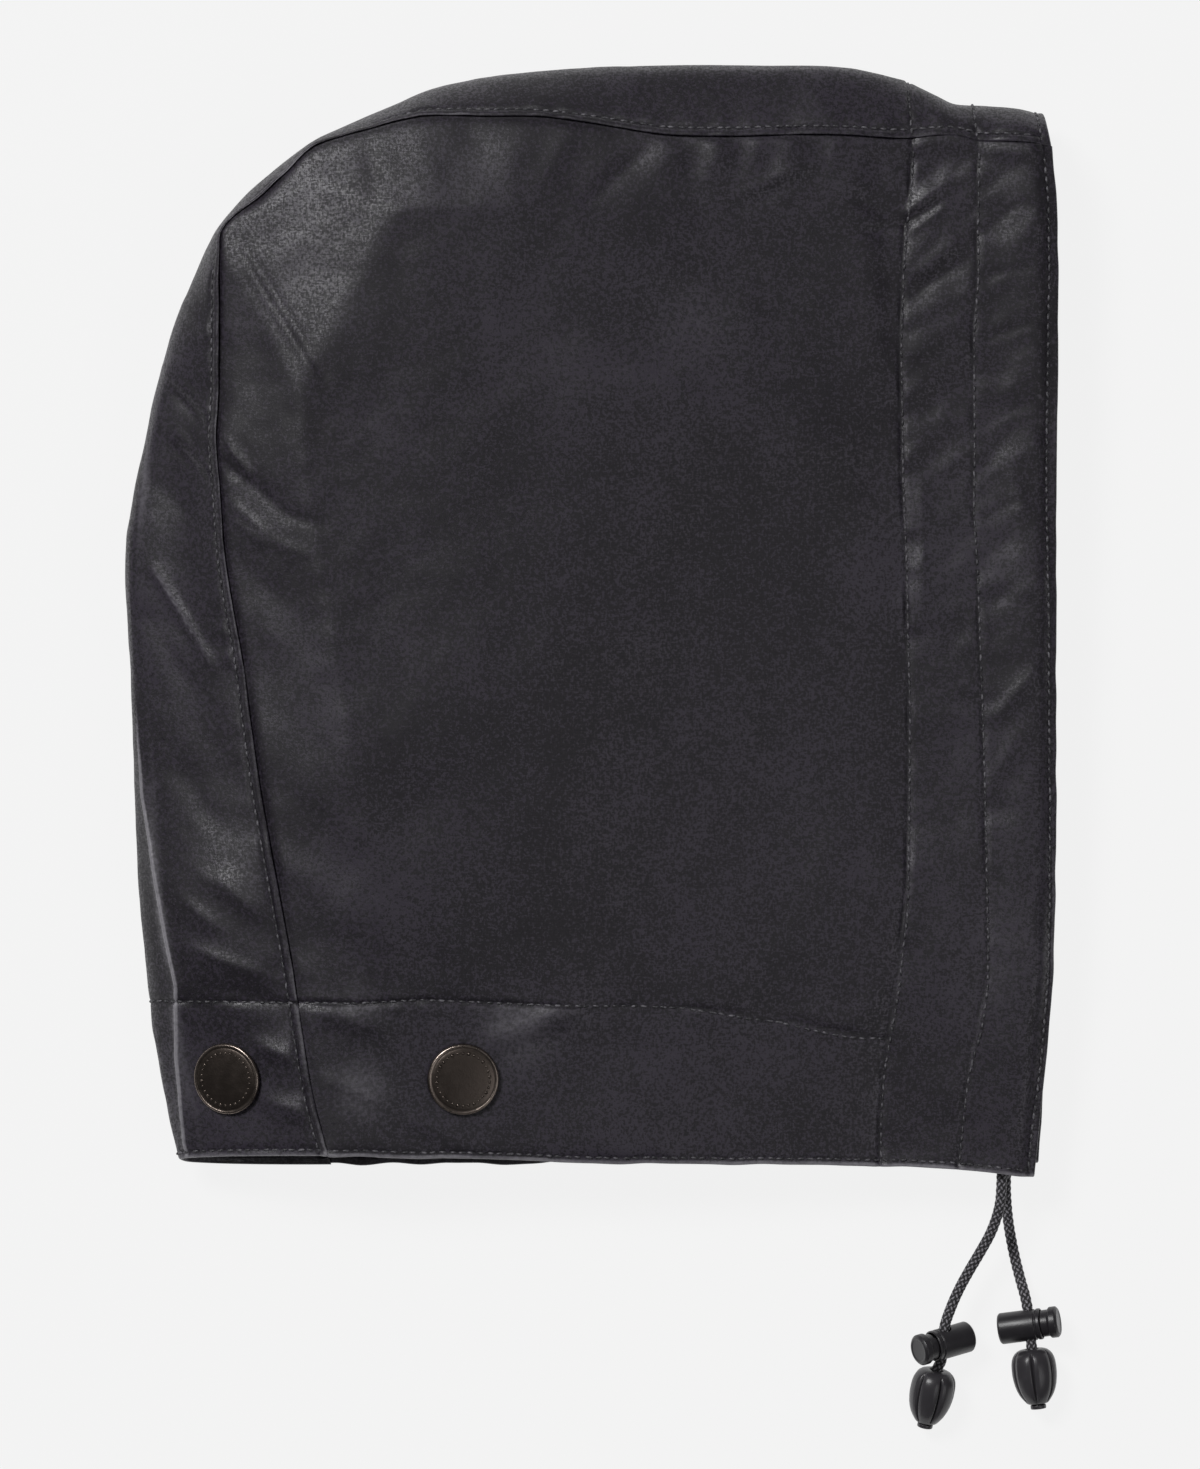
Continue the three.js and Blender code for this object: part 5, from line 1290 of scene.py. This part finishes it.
def gussetRelief(grid):
    place, across, run = grid["place"], grid["across"], grid["run"]
    x, y = place[..., 0], place[..., 1]
    fromEdge = np.minimum(across, grid["width"] - across)
    fromFront = seamLength - run
    inside = ease((fromEdge - 2) / 6) * ease(fromFront / 4) * ease(run / 4)
    relief = inside * uneven(run, across, gussetRipples, gussetLook["seed"])
    nearSide = ease((grid["width"] * 0.62 - across) / (grid["width"] * 0.2))
    relief = relief + foldRise(x, y, gussetFolds) * nearSide * ease((fromEdge - 1.5) / 3) * ease(run / 3)
    for distance, seed in ((fromFront - topEdge, 31), (fromFront - topInner, 32),
                           (fromFront - topOuter, 33), (run - clothLook["hemStitch"], 34),
                           (run - clothLook["neckOnGusset"], 35)):
        relief = relief + sewnRise(distance, across, seed)
    for distance, seed in ((across - clothLook["lapStitch"], 36),
                           (grid["width"] - across - clothLook["lapStitch"], 37)):
        relief = relief + sewnRise(distance, run, seed)
    wide = grid["planWidth"]
    sag = np.sin(math.pi * np.clip(across / (1.1 * wide), 0, 1)) * ease((wide - 10) / 18)
    relief = relief - table(gussetSag, run) * sag
    sharp = np.exp(-np.abs(grid["fromCrease"]) / creaseLook["spread"])
    relief = relief + creaseShare(run) * creaseLook["rise"] * sharp * ease(run / 5)
    lap = np.where(across < grid["width"] / 2, clothLook["lapRise"], -clothLook["farTuck"])
    lap = lap * (1 - ease((fromEdge - 1.2) / (clothLook["lapStitch"] - 1.0)))
    relief = relief + lap * (1 + 0.35 * ripple(run, across * 0.1, 5.5, 38))
    relief = relief + 0.3 * channelBump(fromFront)
    return relief * pastNose(fromFront)


# The gusset's tone: wear on its edges, hem, creases and ridge, and painted shade along the sewn lines
def gussetWearAndPaintedLight(grid):
    place, across, run = grid["place"], grid["across"], grid["run"]
    x, y = place[..., 0], place[..., 1]
    fromFront, aboveNeck = seamLength - run, run - clothLook["neckOnGusset"]
    fromEdge = np.minimum(across, grid["width"] - across)
    fromLap = fromEdge - clothLook["lapStitch"]
    rub = closeTo(fromEdge, 0.7) * (0.25 + 0.45 * ripple(run, across, 16, 81))
    rub = rub + 0.18 * closeTo(fromLap, 1.4) * (0.5 + ripple(run, across, 3.5, 82))
    # Painted shade along the sewn lines
    for line in (fromLap, fromFront - topInner, fromFront - topOuter, aboveNeck):
        rub = rub - clothLook["lineShade"] * closeTo(line, wearAndLineShadeLook["lineShadeWide"])
    rub = rub + 0.7 * closeTo(run, 0.9) + wearAndLineShadeLook["neckOnGusset"] * (1 - ease(aboveNeck))
    fromFold = alongFold(x, y, wornFold)[1]
    paled = closeTo(fromFold, gussetLook["wornWide"]) * (0.75 + 0.5 * ripple(x, y, 7, 83))
    rub = rub + 0.5 * paled * (across < grid["width"] * 0.6)
    rub = rub + spotted(x, y, gussetSpots) * (across < grid["width"] / 2)
    creased = creaseShare(run) * closeTo(grid["fromCrease"], creaseLook["paled"])
    rub = rub + creased * (1.2 + 0.5 * ripple(run, 0, 9, 85))
    ridge = closeTo(across - gussetLook["ridgeAt"] * grid["width"], gussetLook["ridgeWide"])
    rub = rub + ridge * np.clip(0.18 + 0.4 * ripple(run, across * 0.3, 24, 84), 0, 1)
    return np.clip(rub, -1, 1)


def makeGusset():
    grid = gussetGrid(clothLook["step"])
    place = grid["place"]
    normal = normalsOf(place)
    relief = onTable(place, normal, gussetRelief(grid))
    run, across = grid["run"], grid["across"]
    fromFront = seamLength - run
    inNeckHem = 1 - ease((run - clothLook["neckOnGusset"] - 0.8) / 0.6)
    facingEnd = nearest(fromFront[0], topOuter + clothLook["facingPast"])
    wall = clothLook["wall"] + clothLook["hemFold"] * inNeckHem
    pinch = pinchAt(np.minimum(across, grid["width"] - across)) * pinchAt(run)
    gap = clothLook["channelGap"] * channelBump(fromFront) + clothLook["leastGap"]
    gap[:, -1] = clothLook["edgeGap"]
    threads = np.stack([run, across, np.zeros_like(run)], -1)
    outer = sheetPiece("gusset_cloth", place, normal, relief, wall, pinch, gap, facingEnd, threads,
                       gussetWearAndPaintedLight(grid), ["gusset"])
    row = grid["edgeRows"].index(clothLook["lapStitch"])
    for line in (row, len(place) - 1 - row):
        sew("gusset", outer[line, 4:-1], normal[line, 4:-1])
    for target in (clothLook["hemStitch"], clothLook["neckOnGusset"],
                   seamLength - topEdge, seamLength - topInner, seamLength - topOuter):
        column = nearest(run[0], target)
        sew("gusset", outer[3:-3, column], normal[3:-3, column])
    return grid, normal


gussetMade, gussetNormal = makeGusset()
for name, group in (("near_panel_stitches", "near"), ("far_panel_stitches", "far"),
                    ("gusset_stitches", "gusset")):
    stitchPiece(name, group)
print("gusset sewn between the panels")


# The drawcord inside the channel, up the near side, over the crown and down the far side
def channelLine(place, normal, fromFront):
    line = []
    for row in range(0, len(place), 3):
        column = nearest(fromFront[row], clothLook["cordFromEdge"])
        line.append(place[row, column] - normal[row, column] * clothLook["cordDepth"])
    return line


channel = [nearLine[0]] + channelLine(nearGrid["place"], nearNormal, nearGrid["fromFront"])[1:]
channel += channelLine(gussetMade["place"], gussetNormal, seamLength - gussetMade["run"])[1:-1]
channel += channelLine(farGrid["place"], farNormal, farGrid["fromFront"])[:0:-1] + [farLine[0]]
channel = np.array(channel)
for _ in range(6):  # evened out where the pieces meet
    channel[1:-1] = (channel[:-2] + 2 * channel[1:-1] + channel[2:]) / 4
hiddenLook = dict(cordLook, sides=16, step=0.9)
kept = list(range(0, len(channel) - 1, 2)) + [len(channel) - 1]
braidedCord("channel_cord", channel[kept], hiddenLook, ["drawcord"])
print("drawcord run through the channel")

# Table, light and air
paleAir = (0.889, 0.889, 0.889, 1)
tableLook = {"colour": (0.06, 0.06, 0.06, 1), "glow": 0.965, "drop": 0.3, "reach": 9000, "air": 0.075}
floorMesh = bpy.data.meshes.new("tableTop")
reach, level = tableLook["reach"] * toMetres, -tableLook["drop"] * toMetres
floorMesh.from_pydata([(x, y, level) for x, y in ((-reach, -reach), (reach, -reach),
                                                  (reach, reach), (-reach, reach))],
                      [], [[0, 1, 2, 3]])
floor = bpy.data.objects.new("tableTop", floorMesh)
scene.collection.objects.link(floor)
floorFinish = bpy.data.materials.new("paleTable")
floorFinish.use_nodes = True
floorShader = floorFinish.node_tree.nodes["Principled BSDF"]
floorShader.inputs["Base Color"].default_value = tableLook["colour"]
floorShader.inputs["Roughness"].default_value = 1.0
floorShader.inputs["Specular IOR Level"].default_value = 0.0
floorShader.inputs["Emission Color"].default_value = paleAir
floorShader.inputs["Emission Strength"].default_value = tableLook["glow"]
floorMesh.materials.append(floorFinish)

studioLights = [
    {"name": "windowLight", "place": (-1.70, 1.80, 3.38), "size": 1.25, "power": 116},
    {"name": "fillLight", "place": (1.7, -1.1, 2.8), "size": 1.8, "power": 13},
]
for light in studioLights:
    lamp = bpy.data.lights.new(light["name"], "AREA")
    lamp.size = light["size"]
    lamp.energy = light["power"]
    holder = bpy.data.objects.new(light["name"], lamp)
    holder.location = light["place"]
    holder.rotation_mode = "QUATERNION"
    holder.rotation_quaternion = (-Vector(light["place"])).to_track_quat("-Z", "Y")
    scene.collection.objects.link(holder)
world = bpy.data.worlds.new("studioAir")
world.use_nodes = True
background = world.node_tree.nodes["Background"]
background.inputs["Color"].default_value = paleAir
background.inputs["Strength"].default_value = tableLook["air"]
scene.world = world
scene.view_settings.view_transform = "Standard"
print("table and lights set")
